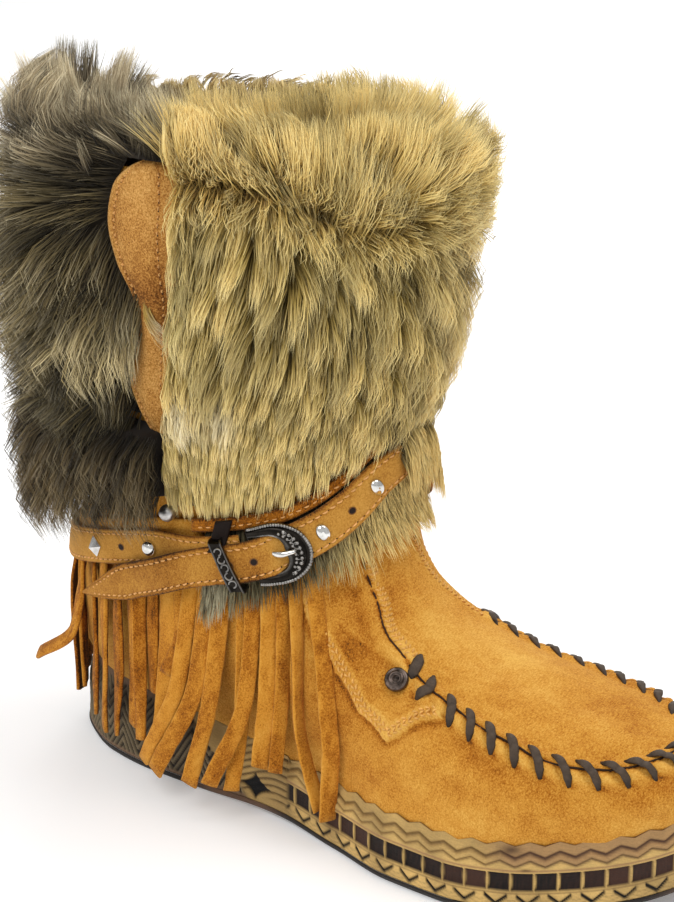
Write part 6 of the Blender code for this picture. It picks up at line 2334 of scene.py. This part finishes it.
def add_rising_fur(shape):
    """The fur just above the parting: it fans to both sides of the front's middle."""
    def keep(psi, z):
        ragged = np.abs(rng.normal(0.0, 1.0, len(z))) * (3.0 + 6.0 * ease((46.0 - psi) / 12.0))
        parting = front_parting(psi)
        return (z < parting + 24.0) & (z > parting - ragged) & thinned(psi > FINE_FROM)

    def flow(psi, z):
        lean = 8.0 * ease((psi - 60.0) / 10.0) + 36.0 * bell(psi - 51.0, 13.0)
        away = 84.0 * ease((28.0 - psi) / 28.0) * (1 - 0.8 * ease((-40.0 - psi) / 50.0))
        start = 90.0 - lean + away
        return start, start * 0.7 + 90.0 * 0.3

    def length(psi, z):
        return 27.0 - 9.0 * ease((z - 222.0) / 20.0)

    psi, z = scatter(12000, (INNER_SEAM, 206.0), (71.5, 250.0), keep)
    z = z - 6.0 * (1 - collar_height_share(psi))
    width = np.where(psi > FINE_FROM, FINE, COARSE_SHORT)
    hang(shape, (psi, z), flow, length, read_from(RISING_DEPTH), 0.45, gold_look, 6.6, (0.55, 0.30),
         width, (0.62, 1.20), 13.0, limit=steady(BAND_LAST), bend=0.42)


def add_parting_fur(shape):
    """Short fur that stands out of the parting itself and fills it."""
    def above(psi, z):
        return z - front_parting(psi) - 1.0

    def flow(psi, z):
        fan = 40.0 * ease((psi - 44.0) / 10.0) * ease((62.0 - psi) / 10.0)
        fan = fan - 60.0 * ease((30.0 - psi) / 20.0)
        start = np.where(above(psi, z) > 0, 90.0 - fan, -90.0 + fan)
        return start, start

    spots = scatter(4500, (-60.0, 200.0), (71.0, 246.0), lambda p, h: np.abs(above(p, h)) < 8.0)
    hang(shape, spots, flow, lambda p, h: 3.5 + 7.0 * np.abs(above(p, h)) / 8.0,
         read_from(RISING_DEPTH), 0.45, gold_look, 4.0, (0.6, 0.3), FINE, (0.80, 1.12), 25.0,
         stand=1.5, limit=steady(BAND_LAST))


def make_collar_fur():
    gold = Shape()
    collar_ground(gold, INNER_SEAM + 1.0, 72.0, srgb(84, 66, 30))
    add_rising_fur(gold)
    add_parting_fur(gold)
    psi, theta = rng.uniform(INNER_SEAM, 72.0, 13500), rng.uniform(5.0, 205.0, 13500)
    fits = thinned(psi > FINE_FROM) & ((theta < 130.0) | (rng.random(len(psi)) < 0.55))
    psi, theta = psi[fits], theta[fits]
    width = np.where(psi > FINE_FROM, FINE, COARSE)
    stand_up(gold, psi, theta, gold_lean, gold_length, gold_look, 5.6, width)
    gold.make("gold_collar_fur", fur_finish, "gold_fur", ["front_collar_fur"])

    grey = Shape()
    collar_ground(grey, 107.0, 190.0, srgb(50, 42, 32), start=10.0)
    collar_ground(grey, 186.0, BACK_LAST, srgb(150, 126, 84), start=10.0)
    collar_ground(grey, 72.0, 108.0, srgb(50, 42, 32), start=50.0)
    psi, theta = rng.uniform(73.0, BACK_LAST, 16000), rng.uniform(0.0, 205.0, 16000)
    fits = ((psi > 104.0) | (theta > 48.0)) & thinned(psi < 215.0)
    stand_up(grey, psi[fits], theta[fits], grey_lean, grey_length, grey_look, 10.5, 0.32, uneven=0.95)
    grey.make("grey_collar_fur", fur_finish, "grey_fur", ["back_collar_fur"])


def ankle_look(psi, z, number, layer, share):
    tone = strand_tone(number, layer, 0.5, 0.5, 0.25, 0.10)
    # painted shade in a dark gap of the fur round 42 degrees
    tone = tone * (1 - 0.62 * bell((psi - 42.0) * PER_DEGREE, 12.0))
    grey = ease((psi - 14.0) / 24.0)
    tone = tone * (1.0 + 0.45 * (1 - grey))
    pale = bell((psi - 66.0) * PER_DEGREE, 8.0)
    middle = mix_colours(srgb(188, 162, 96), srgb(108, 98, 68), grey)
    middle = mix_colours(middle, srgb(160, 152, 118), 0.8 * pale)
    tip = mix_colours(mix_colours(srgb(226, 204, 140), srgb(148, 138, 104), grey), PALE, 0.5 * pale)
    return shade_strands(share, srgb(58, 50, 34), middle, tip, np.clip(tone, 0.22, 1.35))


def make_ankle_fur():
    def low(psi):
        return 101.0 - 21.0 * (np.abs(psi) / 62.0) ** 1.6

    def keep(psi, z):
        return (z > low(psi) + 7.0) & (z < strap_height(psi) + 8.0)

    def over_strap(psi, z):
        return (z > strap_height(psi) + 1.0) & (z < strap_height(psi) + 14.0)

    def flow(psi, z):
        start = -90.0 - 24.0 * ease((30.0 - psi) / 40.0) + 6.0 * ease((psi - 50.0) / 15.0)
        return start, start - 4.0

    shape = Shape()
    cover(shape, steady(BAND_LAST), BAND_FIRST, lambda p: low(p) + 5.0,
          lambda p: strap_height(p) + 8.0, steady(5.6), 0.6, srgb(48, 40, 28))
    spots = scatter(7600, (BAND_FIRST, 80.0), (BAND_LAST, 142.0), keep)
    hang(shape, spots, flow, steady(9.5), steady(5.6), 0.5, ankle_look, 3.2, (0.35, 0.35), 0.28,
         (0.7, 1.25), 11.0, 1.5)
    # at the very front the fur hangs over the strap and hides it
    spots = scatter(3400, (-55.0, 118.0), (5.0, 150.0), over_strap)
    hang(shape, spots, flow, steady(14.0), steady(11.5), 0.75, ankle_look, 4.0, (0.5, 0.4), FINE,
         (0.9, 1.15), 11.0, 0.6)
    shape.make("ankle_fur_band", fur_finish, "gold_fur", ["ankle_fur"])


make_front_fur()
make_back_fur()
make_stray_tuft()
make_hem_fur()
make_collar_fur()
make_ankle_fur()
